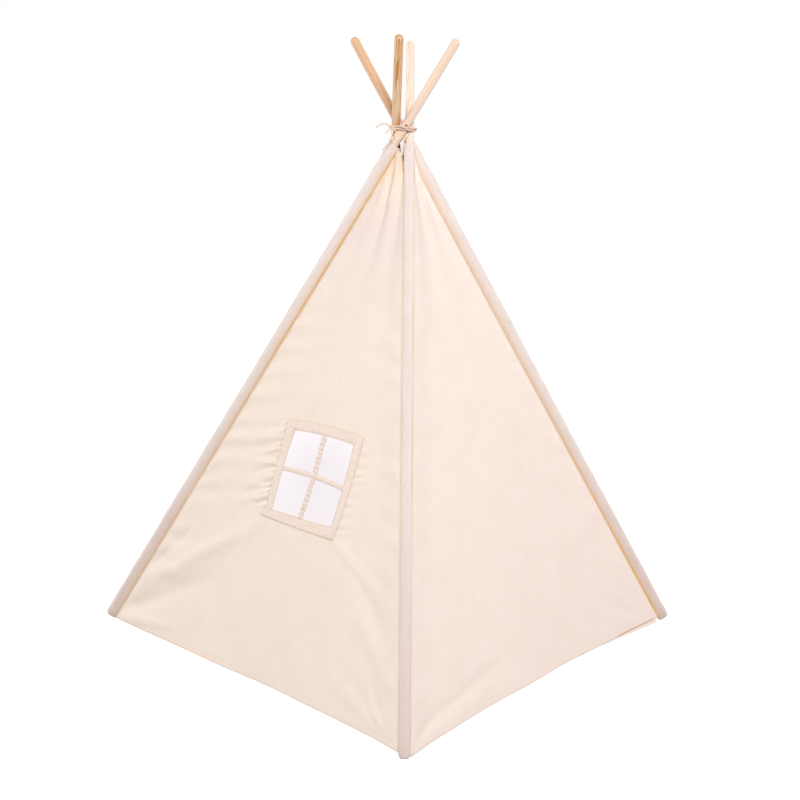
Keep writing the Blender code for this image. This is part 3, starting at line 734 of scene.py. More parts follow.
def finished_mesh(name: str, shape: bmesh.types.BMesh) -> Mesh:
    """End the construction of a mesh and call its map cloth.

    Args:
        name: the mesh's name.
        shape: the mesh under construction.

    Returns:
        The mesh.
    """
    shape.normal_update()
    mesh = bpy.data.meshes.new(name)
    shape.to_mesh(mesh)
    shape.free()
    for layer in mesh.uv_layers:
        layer.name = "cloth"
    return mesh


def grid_mesh(name: str, columns: int, rows: int,
              place_of: Callable[[float, float], Spot]) -> Mesh:
    """Cloth grid with a map in metres and its distances to the seams.

    Args:
        name: the mesh's name.
        columns: quads across.
        rows: quads up.
        place_of: for shares across and up, the point, its place on the cloth in metres and its
        seam values: distance to the side seam, distance to the hem and strength of the painted
        shade by the seam.

    Returns:
        The mesh.
    """
    spots = [place_of(column / columns, row / rows)
             for row in range(rows + 1) for column in range(columns + 1)]
    points, cloth, seams = zip(*spots)
    faces = []
    for row in range(rows):
        for low in range(row * (columns + 1), row * (columns + 1) + columns):
            faces.append((low, low + 1, low + columns + 2, low + columns + 1))
    mesh = bpy.data.meshes.new(name)
    mesh.from_pydata(points, [], faces)
    layer = mesh.uv_layers.new(name="cloth")
    corner_at = np.empty(len(mesh.loops), dtype=np.int64)
    mesh.loops.foreach_get("vertex_index", corner_at)
    layer.uv.foreach_set("vector", np.array(cloth, dtype=np.float32)[corner_at].ravel())
    seam_values = mesh.attributes.new("seam", "FLOAT_VECTOR", "POINT")
    seam_values.data.foreach_set("vector", np.array(seams, dtype=np.float32).ravel())
    mesh.shade_smooth()
    return mesh


def thicken(piece: Object, thickness: float, offset: float = 0.0) -> None:
    """Give a sheet its cloth thickness.

    Args:
        piece: the sheet.
        thickness: thickness of the cloth.
        offset: 0 on both sides of the mesh, -1 inside it.
    """
    solid = piece.modifiers.new("Cloth thickness", "SOLIDIFY")
    solid.thickness = thickness
    solid.offset = offset
    solid.use_even_offset = False


def lengths_along(points: Sequence) -> np.ndarray:
    """Distance of each point from the first one, along the path through them."""
    steps = np.linalg.norm(np.diff(np.array([tuple(p) for p in points]), axis=0), axis=1)
    return np.concatenate([[0.0], np.cumsum(steps)])


def frames_along(points: np.ndarray) -> tuple[np.ndarray, np.ndarray]:
    """Two directions square to a path, carried along it without twist.

    Args:
        points: the path, one row per point.

    Returns:
        The two directions at each point.
    """
    tangents = np.gradient(points, axis=0)
    tangents /= np.linalg.norm(tangents, axis=1)[:, None]
    first = np.zeros_like(points)
    start = np.cross(tangents[0], (0.0, 0.0, 1.0))
    if np.linalg.norm(start) < 0.1:
        start = np.cross(tangents[0], (1.0, 0.0, 0.0))
    first[0] = start / np.linalg.norm(start)
    for at in range(1, len(points)):
        carried = first[at - 1] - tangents[at] * first[at - 1].dot(tangents[at])
        first[at] = carried / np.linalg.norm(carried)
    return first, np.cross(tangents, first)


def smooth_path(points: Sequence[Vector], spacing: float) -> np.ndarray:
    """Even points on a smooth curve through given ones.

    Args:
        points: places that the curve passes.
        spacing: distance between the points that are returned.

    Returns:
        One row per point.
    """
    given = np.array([tuple(p) for p in points])
    ends = np.vstack([2 * given[0] - given[1], given, 2 * given[-1] - given[-2]])
    dense = []
    for at in range(1, len(ends) - 2):
        before, here, there, after = ends[at - 1:at + 3]
        for share in np.linspace(0, 1, 12, endpoint=False):
            dense.append(0.5 * (2 * here + (there - before) * share
                                + (2 * before - 5 * here + 4 * there - after) * share ** 2
                                + (3 * here - before - 3 * there + after) * share ** 3))
    dense.append(given[-1])
    path = np.array(dense)
    run = lengths_along(path)
    count = max(int(run[-1] / spacing), 4)
    wanted = np.linspace(0, run[-1], count + 1)
    return np.stack([np.interp(wanted, run, path[:, axis]) for axis in range(3)], axis=1)


def bridge(shape: bmesh.types.BMesh, rings: Sequence[Sequence[bmesh.types.BMVert]],
           spot_of: Callable[[int, int], tuple[float, float]]) -> None:
    """Join the rings of a tube with faces and lay its map.

    Args:
        shape: the mesh under construction.
        rings: the tube's rings, with the same count of corners.
        spot_of: place on the map, from the ring's number and the corner's, where the corner
            after the last one closes the ring.
    """
    layer = shape.loops.layers.uv.verify()
    for at, (below, above) in enumerate(zip(rings, rings[1:])):
        for step in range(len(below)):
            after = (step + 1) % len(below)
            face = shape.faces.new((below[step], below[after], above[after], above[step]))
            corners = ((at, step), (at, step + 1), (at + 1, step + 1), (at + 1, step))
            for loop, corner in zip(face.loops, corners):
                loop[layer].uv = spot_of(*corner)
            face.smooth = True


def add_tube(shape: bmesh.types.BMesh, points: np.ndarray, radii: np.ndarray, sides: int) -> None:
    """Add a closed tube along a path to a mesh under construction.

    Args:
        shape: the mesh under construction.
        points: the path, one row per point.
        radii: the tube's radius at each point.
        sides: faces round the tube.
    """
    first, second = frames_along(points)
    run = lengths_along(points)
    angles = [2 * math.pi * step / sides for step in range(sides)]
    rings = [[shape.verts.new(centre + (first[at] * math.cos(angle)
                                        + second[at] * math.sin(angle)) * radii[at])
              for angle in angles] for at, centre in enumerate(points)]
    around = 2 * math.pi * float(radii.mean())
    bridge(shape, rings, lambda at, step: (run[at], around * step / sides))
    shape.faces.new(rings[0][::-1])
    shape.faces.new(rings[-1])


@dataclass(frozen=True)
class Rope:
    """Rope of three strands laid round each other."""

    radius: float
    pitch: float  # length of one turn of the strands
    frayed: float = 0.0  # length at the far end over which the strands part
    strand_lay: float = 0.50  # distance of a strand's middle from the rope's, of the radius
    strand_radius: float = 0.58  # of the radius
    parting: float = 0.9
    thinning: float = 0.5
    sides: int = 7

    def mesh(self, name: str, path: np.ndarray) -> Mesh:
        """Lay the strands round a path.

        Args:
            name: the mesh's name.
            path: the rope's middle line.

        Returns:
            The mesh.
        """
        first, second = frames_along(path)
        run = lengths_along(path)
        loose = np.zeros_like(run)
        if self.frayed:
            loose = np.clip((run - run[-1] + self.frayed) / self.frayed, 0, 1)
        lay = self.radius * self.strand_lay * (1 + self.parting * loose ** 2)
        radii = self.radius * self.strand_radius * (1 - self.thinning * loose)
        shape = bmesh.new()
        for strand in range(3):
            angles = 2 * math.pi * (run / self.pitch + strand / 3)
            offset = first * np.cos(angles)[:, None] + second * np.sin(angles)[:, None]
            add_tube(shape, path + offset * lay[:, None], radii, self.sides)
        return finished_mesh(name, shape)


# Studio


@dataclass
class Studio:
    """Camera of the photograph, a white floor and plain soft light."""

    camera_distance: float = 3.47661  # level distance from the tent's middle
    camera_height: float = 1.50341
    camera_bearing: float = 42.175  # degrees round the tent, from +X towards +Y
    aim_aside: float = -0.201  # degrees that it looks past the tent's middle
    pitch: float = 13.1488
    roll: float = 1.4908
    lens_mm: float = 54.36
    sensor_mm: float = 36.0
    view_reach: float = 100.0
    floor_radius: float = 14.0
    floor_sides: int = 64
    floor_drop: float = 0.0004
    floor_glow_and_shadow: tuple[tuple[float, str], ...] = (  # glow for the camera, by the distance from the painted shadow's middle: dim pinkish grey there, an even glow beyond
        (0.0, "#B6AEB2"), (0.55, "#C0B8BC"), (1.0, "#C3BBBF"), (1.22, "#F4F4F4"))
    painted_shadow_middle: tuple[float, float] = (-1.70, 0.35)  # middle of the painted shadow on the floor, away from the camera and to its left
    painted_shadow_size: tuple[float, float] = (0.94, 0.31)  # size of the painted shadow: the floor that shows through the window
    floor_paint: str = "#C8C7C5"
    sky: str = "#F6F7FF"
    sky_strength: float = 0.30
    lit_height: float = 0.75  # where the lamps point
    lamps: tuple[tuple[str, float, float, float, float, float, str], ...] = (
        # name, bearing in degrees, level distance, height, size, power in watts, colour
        ("softbox_key", 52, 3.5, 3.6, 1.5, 139.0, "#FFFCF8"),
        ("softbox_left", -52, 4.0, 1.7, 1.6, 60.0, "#FFFAF6"),
        ("softbox_rim", -84, 4.5, 0.9, 1.4, 50.0, "#FFFFFF"),
        ("softbox_right", 140, 4.0, 1.7, 1.6, 46.0, "#FFF8FA"),
        ("softbox_behind", 225, 4.0, 3.0, 2.0, 32.0, "#FFFFFF"))

    def build(self) -> None:
        """Make the camera, the light and the floor."""
        self.add_camera()
        self.add_world()
        self.add_floor()
        self.add_lamps()

    def add_camera(self) -> None:
        """Set the camera where it stood for the photograph, with no shift."""
        data = bpy.data.cameras.new("camera")
        data.sensor_width = self.sensor_mm
        data.lens = self.lens_mm
        data.clip_end = self.view_reach
        camera = bpy.data.objects.new("camera", data)
        bpy.context.scene.collection.objects.link(camera)
        place = (level_direction(self.camera_bearing) * self.camera_distance
                 + UP * self.camera_height)
        turn = (Matrix.Rotation(math.radians(self.camera_bearing + 90 + self.aim_aside), 4, "Z")
                @ Matrix.Rotation(math.radians(90 - self.pitch), 4, "X")
                @ Matrix.Rotation(math.radians(self.roll), 4, "Z"))
        camera.matrix_world = Matrix.Translation(place) @ turn
        bpy.context.scene.camera = camera
        LOG.info("camera %s", camera.matrix_world)

    @staticmethod
    def plainly_seen(nodes: Nodes) -> NodeSocket:
        """Tell the rays that show a surface from those that light it.

        Args:
            nodes: the tree that needs to know.

        Returns:
            1 for rays from the camera, mirrored rays and rays let through, else 0.
        """
        rays = nodes.add("LightPath").node.outputs
        seen = nodes.add("Math", {0: rays["Is Camera Ray"], 1: rays["Is Glossy Ray"]},
                         operation="MAXIMUM")
        return nodes.add("Math", {0: seen, 1: rays["Is Transmission Ray"]}, operation="MAXIMUM")

    def add_world(self) -> None:
        """White for the camera and for reflections, soft ambient light for the rest."""
        world = bpy.data.worlds.new("studio")
        world.use_nodes = True
        nodes = Nodes(world.node_tree)
        ambient = nodes.add("Background", {"Color": linear(self.sky),
                                           "Strength": self.sky_strength})
        white = nodes.add("Background", {"Color": linear("#FFFFFF"), "Strength": 1.0})
        mixed = nodes.add("MixShader", {0: self.plainly_seen(nodes), 1: ambient, 2: white})
        nodes.link(mixed, "World Output", 0)
        bpy.context.scene.world = world
        bpy.context.scene.view_settings.view_transform = "Standard"

    def add_floor(self) -> None:
        """White floor that reads as the background and keeps the tent's soft shadow, with a
        painted shadow on the floor that shows through the window.
        """
        shape = bmesh.new()
        bmesh.ops.create_circle(shape, cap_ends=True, segments=self.floor_sides,
                                radius=self.floor_radius)
        shade = Shader("matt_white_paper", {"Roughness": 1.0, "Specular IOR Level": 0.0,
                                            "Base Color": linear(self.floor_paint)})
        paper = shade.surface.outputs[0]
        # painted shadow: the glow is dimmer and pinkish grey in an ellipse round this middle
        middle = (level_direction(self.camera_bearing) * self.painted_shadow_middle[0]
                  + level_direction(self.camera_bearing - 90) * self.painted_shadow_middle[1])
        spot = shade.add("Mapping", {
            "Vector": shade.add("TexCoord", output="Object"), "Location": tuple(middle),
            "Rotation": (0.0, 0.0, math.radians(self.camera_bearing)),
            "Scale": (*self.painted_shadow_size, 1.0)}, vector_type="TEXTURE")
        away = shade.add("VectorMath", {0: spot}, "Value", operation="LENGTH")
        reach = self.floor_glow_and_shadow[-1][0]
        share = shade.add("Math", {0: away, 1: 1 / reach}, operation="MULTIPLY")
        colour = shade.add("ValToRGB", {0: share}, stops=[
            (place / reach, tone) for place, tone in self.floor_glow_and_shadow])
        glow = shade.add("Emission", {"Color": colour, "Strength": 1.0})
        both = shade.add("AddShader", {0: paper, 1: glow})
        mixed = shade.add("MixShader", {0: self.plainly_seen(shade), 1: paper, 2: both})
        shade.link(mixed, "Material Output", 0)
        new_object(finished_mesh("floor", shape), shade.material,
                            Matrix.Translation((0, 0, -self.floor_drop)))

    def add_lamps(self) -> None:
        """A key soft box by the camera, a rim light low on each side and one from behind."""
        target = UP * self.lit_height
        for name, bearing, distance, height, size, power, colour in self.lamps:
            data = bpy.data.lights.new(name, "AREA")
            data.shape = "SQUARE"
            data.size = size
            data.energy = power
            data.color = linear(colour)[:3]
            lamp = bpy.data.objects.new(name, data)
            bpy.context.scene.collection.objects.link(lamp)
            place = level_direction(bearing) * distance + UP * height
            aim = (target - place).to_track_quat("-Z", "Y").to_matrix().to_4x4()
            lamp.matrix_world = Matrix.Translation(place) @ aim


# Poles


@dataclass
class Poles:
    """Four jointed pine dowels with domed tips, their ferrules and their rope holes."""

    radius: float = TENT.pole_radius
    toe: float = 0.010
    section: float = 0.6585
    tip_round: float = 0.011
    toe_round: float = 0.004
    tenon: float = 0.045
    wall: float = 0.0012
    rim: float = 0.0003
    gap: float = 0.0003
    hole_radius: float = 0.004
    hole_above_crossing: float = 0.0145
    sides: int = 48
    hole_sides: int = 24
    arc_steps: int = 9
    sharp: float = 35.0  # degrees from which an edge is shaded sharp

    def build(self, finishes: Finishes) -> None:
        """Build each pole's three sections and two ferrules.

        Args:
            finishes: the tent's materials.
        """
        for corner in Corner:
            for number, level in enumerate(("lower", "middle", "upper")):
                self.build_section(corner, number, level, finishes.poles[corner])
            for number, level in enumerate(("lower", "upper")):
                self.build_ferrule(corner, number, level, finishes.steel)

    def joint(self, number: int) -> float:
        """Place along the pole of the joint above a section, counted from the bottom."""
        return number * self.section - self.toe

    def arc(self, height: float, size: float, turn: int) -> list[tuple[float, float]]:
        """Round a turned end.

        Args:
            height: height of the end.
            size: radius of the round.
            turn: +1 at the top and -1 at the bottom.

        Returns:
            Radius and height of each point, from the top down.
        """
        angles = [math.pi / 2 * step / self.arc_steps for step in range(self.arc_steps + 1)]
        points = [(self.radius - size + size * math.sin(angle),
                   height - turn * size * (1 - math.cos(angle))) for angle in angles]
        return points if turn > 0 else points[::-1]

    def section_profile(self, number: int) -> list[tuple[float, float]]:
        """Outline of one section.

        Args:
            number: the section's number from the bottom.

        Returns:
            Radius and height of each point, from the top down.
        """
        bottom, top = self.joint(number), self.joint(number + 1)
        tenon_radius = self.radius - self.wall - self.gap
        if number == 2:
            upper = [(0.0, top)] + self.arc(top, self.tip_round, 1)
        else:
            shoulder = top - self.tenon - self.gap
            upper = [(0.0, top - self.gap / 2), (tenon_radius, top - self.gap / 2),
                     (tenon_radius, shoulder), (self.radius, shoulder)]
        if number == 0:
            lower = self.arc(bottom, self.toe_round, -1) + [(0.0, bottom)]
        else:
            shoulder = bottom + self.tenon + self.gap
            lower = [(self.radius, shoulder), (tenon_radius, shoulder),
                     (tenon_radius, bottom + self.gap / 2), (0.0, bottom + self.gap / 2)]
        return upper + lower

    def lathe(self, name: str, profile: Sequence[tuple[float, float]],
              closed: bool = False) -> Mesh:
        """Turn an outline about Z.

        Args:
            name: the mesh's name.
            profile: radius and height of each point.
            closed: whether the last point joins the first.

        Returns:
            The mesh.
        """
        shape = bmesh.new()
        angles = [2 * math.pi * step / self.sides for step in range(self.sides)]
        rings = [[shape.verts.new((radius * math.cos(angle), radius * math.sin(angle), height))
                  for angle in (angles if radius else angles[:1])] for radius, height in profile]
        pairs = list(zip(rings, rings[1:])) + ([(rings[-1], rings[0])] if closed else [])
        for above, below in pairs:
            for step in range(self.sides):
                after = (step + 1) % self.sides
                corners = [above[step % len(above)], below[step % len(below)],
                           below[after % len(below)], above[after % len(above)]]
                shape.faces.new(list(dict.fromkeys(corners)))
        bmesh.ops.recalc_face_normals(shape, faces=shape.faces)
        mesh = finished_mesh(name, shape)
        mesh.shade_smooth()
        mesh.set_sharp_from_angle(angle=math.radians(self.sharp))
        return mesh

    def build_section(self, corner: Corner, number: int, level: str,
                      finish: Material) -> None:
        """Build one section in its pole's own frame, with the rope hole in the upper one.

        Args:
            corner: the pole's corner.
            number: the section's number from the bottom.
            level: the section's name.
            finish: the pole's material.
        """
        mesh = self.lathe(f"dowel_{level}_{corner.label}", self.section_profile(number))
        piece = new_object(mesh, finish, POLES[corner].matrix(0))
        if number == 2:
            self.drill(piece, POLES[corner].crossing_along + self.hole_above_crossing)
        settle(piece, corner.body, "pine", f"pole_{level}_{corner.label}")

    def drill(self, piece: Object, height: float) -> None:
        """Drill the rope hole through a section.

        Args:
            piece: the section.
            height: place of the hole along the pole.
        """
        shape = bmesh.new()
        bmesh.ops.create_cone(shape, cap_ends=True, segments=self.hole_sides,
                              radius1=self.hole_radius, radius2=self.hole_radius,
                              depth=self.radius * 3)
        bmesh.ops.transform(shape, verts=shape.verts, matrix=(
            Matrix.Translation((0, 0, height)) @ Matrix.Rotation(math.pi / 2, 4, "X")))
        drill = bpy.data.objects.new("drill", finished_mesh("drill", shape))
        bpy.context.scene.collection.objects.link(drill)
        drill.matrix_world = piece.matrix_world
        cut = piece.modifiers.new("Rope hole", "BOOLEAN")
        cut.operation = "DIFFERENCE"
        cut.solver = "EXACT"
        cut.object = drill
        bpy.context.view_layer.update()
        graph = bpy.context.evaluated_depsgraph_get()
        drilled = bpy.data.meshes.new_from_object(piece.evaluated_get(graph))
        piece.modifiers.clear()
        piece.data = drilled
        bpy.data.objects.remove(drill)

    def build_ferrule(self, corner: Corner, number: int, level: str,
                      finish: Material) -> None:
        """Build one flush steel ferrule.

        Args:
            corner: the pole's corner.
            number: number of the section below it.
            level: the ferrule's name.
            finish: its material.
        """
        middle = self.joint(number + 1)
        low, high = middle - self.tenon, middle + self.tenon
        inner, rounded = self.radius - self.wall, self.radius - self.rim
        ring = [(self.radius, high - self.rim), (self.radius, low + self.rim), (rounded, low),
                (inner, low), (inner, high), (rounded, high)]
        mesh = self.lathe(f"ferrule_tube_{level}_{corner.label}", ring, closed=True)
        piece = new_object(mesh, finish, POLES[corner].matrix(0))
        settle(piece, corner.body, "galvanised_steel", f"ferrule_{level}_{corner.label}")


# Lashing


@dataclass
class Lashing:
    """Rope winding round the crossing, its knot, its loose ends and the cover's peak tape."""

    radius: float = 0.0019
    pitch: float = 0.0125
    loops: int = 3
    above_crossing: float = 0.0045
    bundle_tall: float = 0.0040  # how far the turns lie above and below the bundle's middle
    bundle_deep: float = 0.0021
    bundle_drop: float = 0.0032  # of the bundle towards the knot's far side
    bundle_start: float = 0.6
    slack: float = 0.0006
    loop_points: int = 24
    point_gap: float = 0.0014  # between the points of the winding's path
    fine_gap: float = 0.0011  # between those of the knot's and the ends' paths
    fold: float = 26.0
    knot_place: tuple[float, float, float] = (-0.0255, 0.0299, 0.0050)
    knot_radius: float = 0.0065
    knot_clear: float = 0.0003
    knot_spread: float = 1.35  # of the knot's loose loops past its tight middle
    knot_rope: float = 0.92  # how far the rope is drawn thin in the knot
    knot_tall: float = 1.5
    knot_turn: float = 60.0
    knot_steps: int = 72
    frayed: float = 0.007
    ends: dict[str, tuple[tuple[float, float, float], ...]] = field(default_factory=lambda: {
        "rope_end_curled": (
            (-0.0400, 0.0385, 0.0112), (-0.0480, 0.0400, 0.0145), (-0.0560, 0.0412, 0.0152),
            (-0.0630, 0.0422, 0.0138), (-0.0700, 0.0430, 0.0102), (-0.0765, 0.0436, 0.0052)),
        "rope_end_short_side": (
            (-0.0360, 0.0450, 0.0014), (-0.0412, 0.0505, -0.0014), (-0.0458, 0.0560, -0.0050),
            (-0.0492, 0.0622, -0.0090)),
        "rope_end_short_down": (
            (-0.0298, 0.0425, -0.0070), (-0.0322, 0.0472, -0.0138),
            (-0.0344, 0.0512, -0.0208), (-0.0358, 0.0552, -0.0280)),
        "rope_end_long": (
            (-0.0205, 0.0412, -0.0060), (-0.0238, 0.0430, -0.0142),
            (-0.0304, 0.0434, -0.0232), (-0.0372, 0.0432, -0.0322),
            (-0.0440, 0.0430, -0.0410), (-0.0506, 0.0430, -0.0496),
            (-0.0570, 0.0432, -0.0580)),
    })
    tape_route: tuple[tuple[float, float, float], ...] = (
        (-0.0050, 0.0321, -0.0944), (-0.0045, 0.0305, -0.0746), (-0.0012, 0.0280, -0.0519),
        (0.0018, 0.0245, -0.0302), (0.0095, 0.0236, -0.0155), (0.0155, 0.0188, -0.0059))
    tape_width: float = 0.006
    tape_stated_width: float = 0.010  # least width of the tape as a sheet; a sheet is stated no narrower than this
    tape_thick: float = 0.0009
    tape_crown: float = 0.0008
    tape_gap: float = 0.002  # between the points of the tape's path
    tape_columns: int = 6

    @staticmethod
    def place(across: float, outward: float, above: float) -> Vector:
        """Point given from the crossing, as seen from the corner between +X and +Y."""
        return (level_direction(135) * across + level_direction(45) * outward
                + UP * (TENT.crossing_height + above))

    def build(self, finishes: Finishes) -> None:
        """Build the free ends first, then the winding, the knot and the tape.

        Args:
            finishes: the tent's materials.
        """
        self.build_ends(finishes.rope)
        rope = Rope(self.radius, self.pitch)
        self.lay_rope(rope.mesh("lashing_winding", self.winding_path()), finishes.rope,
                      "rope_lashing")
        tight = replace(rope, radius=self.radius * self.knot_rope)
        self.lay_rope(tight.mesh("lashing_knot", self.knot_path()), finishes.rope, "rope_knot")
        self.build_tape(finishes.tape)

    @staticmethod
    def lay_rope(mesh: Mesh, finish: Material, node: str) -> Object:
        """Put a length of rope on the lashing.

        Args:
            mesh: the rope.
            finish: its material.
            node: the node that it stands for.

        Returns:
            The piece.
        """
        piece = new_object(mesh, finish)
        settle(piece, "lashing", "cotton_rope", node)
        return piece

    def build_ends(self, finish: Material) -> None:
        """Build the four loose rope ends that leave the knot.

        Args:
            finish: the rope's material.
        """
        knot = self.place(*self.knot_place)
        rope = Rope(self.radius, self.pitch, self.frayed)
        for name, places in self.ends.items():
            route = [self.place(*place) for place in places]
            leaving = (route[0] - knot).normalized()
            route.insert(0, knot + leaving * (self.knot_radius + self.knot_clear))
            path = smooth_path(route, self.fine_gap)
            piece = self.lay_rope(rope.mesh(f"loose_{name}", path), finish, name)
            tuple(route[0])
            float(lengths_along(path)[-1])

    @staticmethod
    def edge(line: PoleLine, axis: Vector, height: float, away: Vector) -> Vector:
        """Farthest point of a pole's level section in one direction.

        Args:
            line: the pole.
            axis: the pole's direction.
            height: height of the section.
            away: the direction.

        Returns:
            The point.
        """
        lean = Vector((axis.x, axis.y, 0)).normalized()
        across = UP.cross(lean)
        by_lean = TENT.pole_radius / axis.z * away.dot(lean)
        by_side = TENT.pole_radius * away.dot(across)
        reach = (lean * (TENT.pole_radius / axis.z * by_lean)
                 + across * (TENT.pole_radius * by_side))
        middle = line.crossing + axis * ((height - line.crossing.z) / axis.z)
        return middle + reach / math.hypot(by_lean, by_side)

    def winding_path(self) -> np.ndarray:
        """Turns of rope round all four poles, which cross each other in a bundle.

        Returns:
            The path, one row per point.
        """
        points = []
        steps = self.loop_points // len(Corner)
        corners = list(Corner)
        twists = 2 * math.pi * (self.loops + 1) / self.loops
        for number in range(self.loops * self.loop_points + 1):
            turn = twists * number / self.loop_points + self.bundle_start
            height = (TENT.crossing_height + self.above_crossing
                      + self.bundle_tall * math.cos(turn))
            corner, step = divmod(number, steps)
            line = POLES[corners[corner % len(corners)]]
            middle = line.at_height(height)
            azimuth = math.degrees(math.atan2(middle.y, middle.x))
            away = level_direction(azimuth + 90 * ((step + 0.5) / steps - 0.5))
            folded = line.axis.copy()
            folded.rotate(Matrix.Rotation(math.radians(self.fold), 3, line.side))
            edges = [self.edge(line, axis, height, away) for axis in (line.axis, folded)]
            drop = self.bundle_drop * away.dot(level_direction(135))
            out = self.radius + self.slack + self.bundle_deep * (1 + math.sin(turn))
            points.append(max(edges, key=away.dot) + away * out - UP * drop)
        return smooth_path(points, self.point_gap)

    def knot_path(self) -> np.ndarray:
        """Overhand knot: a rope that passes through its own loop.

        Returns:
            The path, one row per point.
        """
        reach = (self.knot_radius * self.knot_spread - self.radius) / 3
        turned = Matrix.Rotation(math.radians(self.knot_turn), 3, level_direction(135))
        path = []
        for step in range(self.knot_steps + 1):
            angle = 2 * math.pi * step / self.knot_steps
            path.append(self.place(*self.knot_place) + turned @ Vector((
                reach * (math.sin(angle) + 2 * math.sin(2 * angle)),
                reach * (math.cos(angle) - 2 * math.cos(2 * angle)),
                -self.knot_tall * reach * math.sin(3 * angle))))
        return smooth_path(path, self.fine_gap)

    def build_tape(self, finish: Material) -> None:
        """Build the flat tape that ties the cover's peak up to the lashing.

        Args:
            finish: the tape's material.
        """
        route = smooth_path([self.place(*point) for point in self.tape_route], self.tape_gap)
        run = lengths_along(route)
        rows = len(route) - 1

        def place_of(share: float, rise: float) -> Spot:
            """Point of the tape at shares across and along it."""
            at = round(rise * rows)
            crown = self.tape_crown * math.cos(math.pi * (share - 0.5))
            point = (Vector(route[at]) + level_direction(135) * (self.tape_width * (share - 0.5))
                     + level_direction(45) * crown)
            return point, (share * self.tape_width, run[at]), (1.0, 1.0, 0.0)

        piece = new_object(grid_mesh("peak_tape", self.tape_columns, rows, place_of), finish)
        thicken(piece, self.tape_thick)
        settle(piece, "lashing", "cotton_tape", "cover_tie")


# Cover


def beside(start: tuple[float, float], end: tuple[float, float], place: float,
           height: float) -> tuple[float, float, float]:
    """Measure where a place of a wall lies from a line on it.

    Args:
        start: place and height of the line's start.
        end: place and height of its end.
        place: distance from the wall's middle.
        height: height above the floor.

    Returns:
        Distance along the line, distance to its left and the line's length.
    """
    run = (end[0] - start[0], end[1] - start[1])
    across = (place - start[0], height - start[1])
    length = math.hypot(*run)
    return ((across[0] * run[0] + across[1] * run[1]) / length,
            (run[0] * across[1] - run[1] * across[0]) / length, length)


@dataclass(frozen=True)
class Crease:
    """A soft fold of a wall along a line of places and heights, in metres."""

    start: tuple[float, float]
    end: tuple[float, float]
    width: float
    lift: float
    fade: float = 0.25  # how far it fades out past both ends, as a share of its length

    def at(self, place: float, height: float) -> float:
        """Lift of the fold.

        Args:
            place: distance from the wall's middle.
            height: height above the floor.

        Returns:
            The lift out of the wall.
        """
        along, aside, length = beside(self.start, self.end, place, height)
        near = min(along, length - along) / length + self.fade
        if near < 0 or abs(aside) > 3 * self.width:
            return 0.0
        far = max(along, length - along) / length + self.fade
        taper = smooth_step(near / (2 * self.fade)) * smooth_step(far / (2 * self.fade))
        return self.lift * bell(aside / self.width) * taper


@dataclass(frozen=True)
class Fan:
    """Folds that spread from a corner of a wall."""

    apex: tuple[float, float]
    first: float  # degrees from the level line, towards which the folds start
    last: float
    count: float
    reach: float
    lift: float
    clear: float = 0.001  # of the corner itself
    rise: float = 0.15  # share of the reach over which the folds grow

    def at(self, place: float, height: float) -> float:
        """Lift of the folds.

        Args:
            place: distance from the wall's middle.
            height: height above the floor.

        Returns:
            The lift out of the wall.
        """
        across, above = place - self.apex[0], height - self.apex[1]
        distance = math.hypot(across, above)
        angle = math.degrees(math.atan2(above, across)) % 360
        share = (angle - self.first) / (self.last - self.first)
        if not self.clear <= distance <= self.reach or not 0 <= share <= 1:
            return 0.0
        near = smooth_step(distance / (self.rise * self.reach))
        fade = 1 - smooth_step(distance / self.reach)
        edge = smooth_step(4 * share) * smooth_step(4 * (1 - share))
        return self.lift * math.sin(2 * math.pi * self.count * share) * near * fade * edge


@dataclass(frozen=True)
class Puckers:
    """Short folds that a row of stitches draws in the canvas, to the left of a line."""

    start: tuple[float, float]
    end: tuple[float, float]
    spacing: float
    reach: float
    lift: float
    slant: float = 0.5
    wander: float = 0.35  # of the folds' spacing
    strength: tuple[float, float] = (0.65, 0.7)  # of the folds: the mean and what varies
    patches: float = 0.5  # of that pattern, to a fold's spacing
    cut_off: float = 2.5  # times the reach, where the folds have faded out
    seed: float = 3.1

    def at(self, place: float, height: float) -> float:
        """Lift of the folds.

        Args:
            place: distance from the wall's middle.
            height: height above the floor.

        Returns:
            The lift out of the wall.
        """
        along, aside, length = beside(self.start, self.end, place, height)
        if not 0 <= along <= length or not 0 <= aside <= self.cut_off * self.reach:
            return 0.0
        scale = self.patches / self.spacing
        wander = self.wander * noise.noise(Vector((along * scale, aside * scale, length)))
        strong = self.strength[0] + self.strength[1] * noise.noise(
            Vector((along * scale, self.seed, length)))
        wave = math.sin(2 * math.pi * ((along + self.slant * aside) / self.spacing + wander))
        ends = smooth_step(along / self.spacing) * smooth_step((length - along) / self.spacing)
        return self.lift * strong * wave * bell(aside / self.reach) * ends


@dataclass(frozen=True)
class Hem:
    """Height of a wall's hem, which arches up between the poles and hangs a little askew."""

    low: float = TENT.hem_height
    slope: float = 0.0
    arch: float = TENT.hem_arch
    climb: float = 0.0  # how far the canvas is hitched up towards the second pole
    climb_share: float = 0.75
    dip: float = 0.0  # how far it falls again beyond that
    dip_share: float = 0.20

    def height(self, share: float) -> float:
        """Height of the hem.

        Args:
            share: place from the first pole to the second.

        Returns:
            The height above the floor.
        """
        return (self.low + self.slope * share + self.arch * 4 * share * (1 - share)
                + self.climb * smooth_step(share / self.climb_share)
                - self.dip * smooth_step((share - self.climb_share) / self.dip_share))


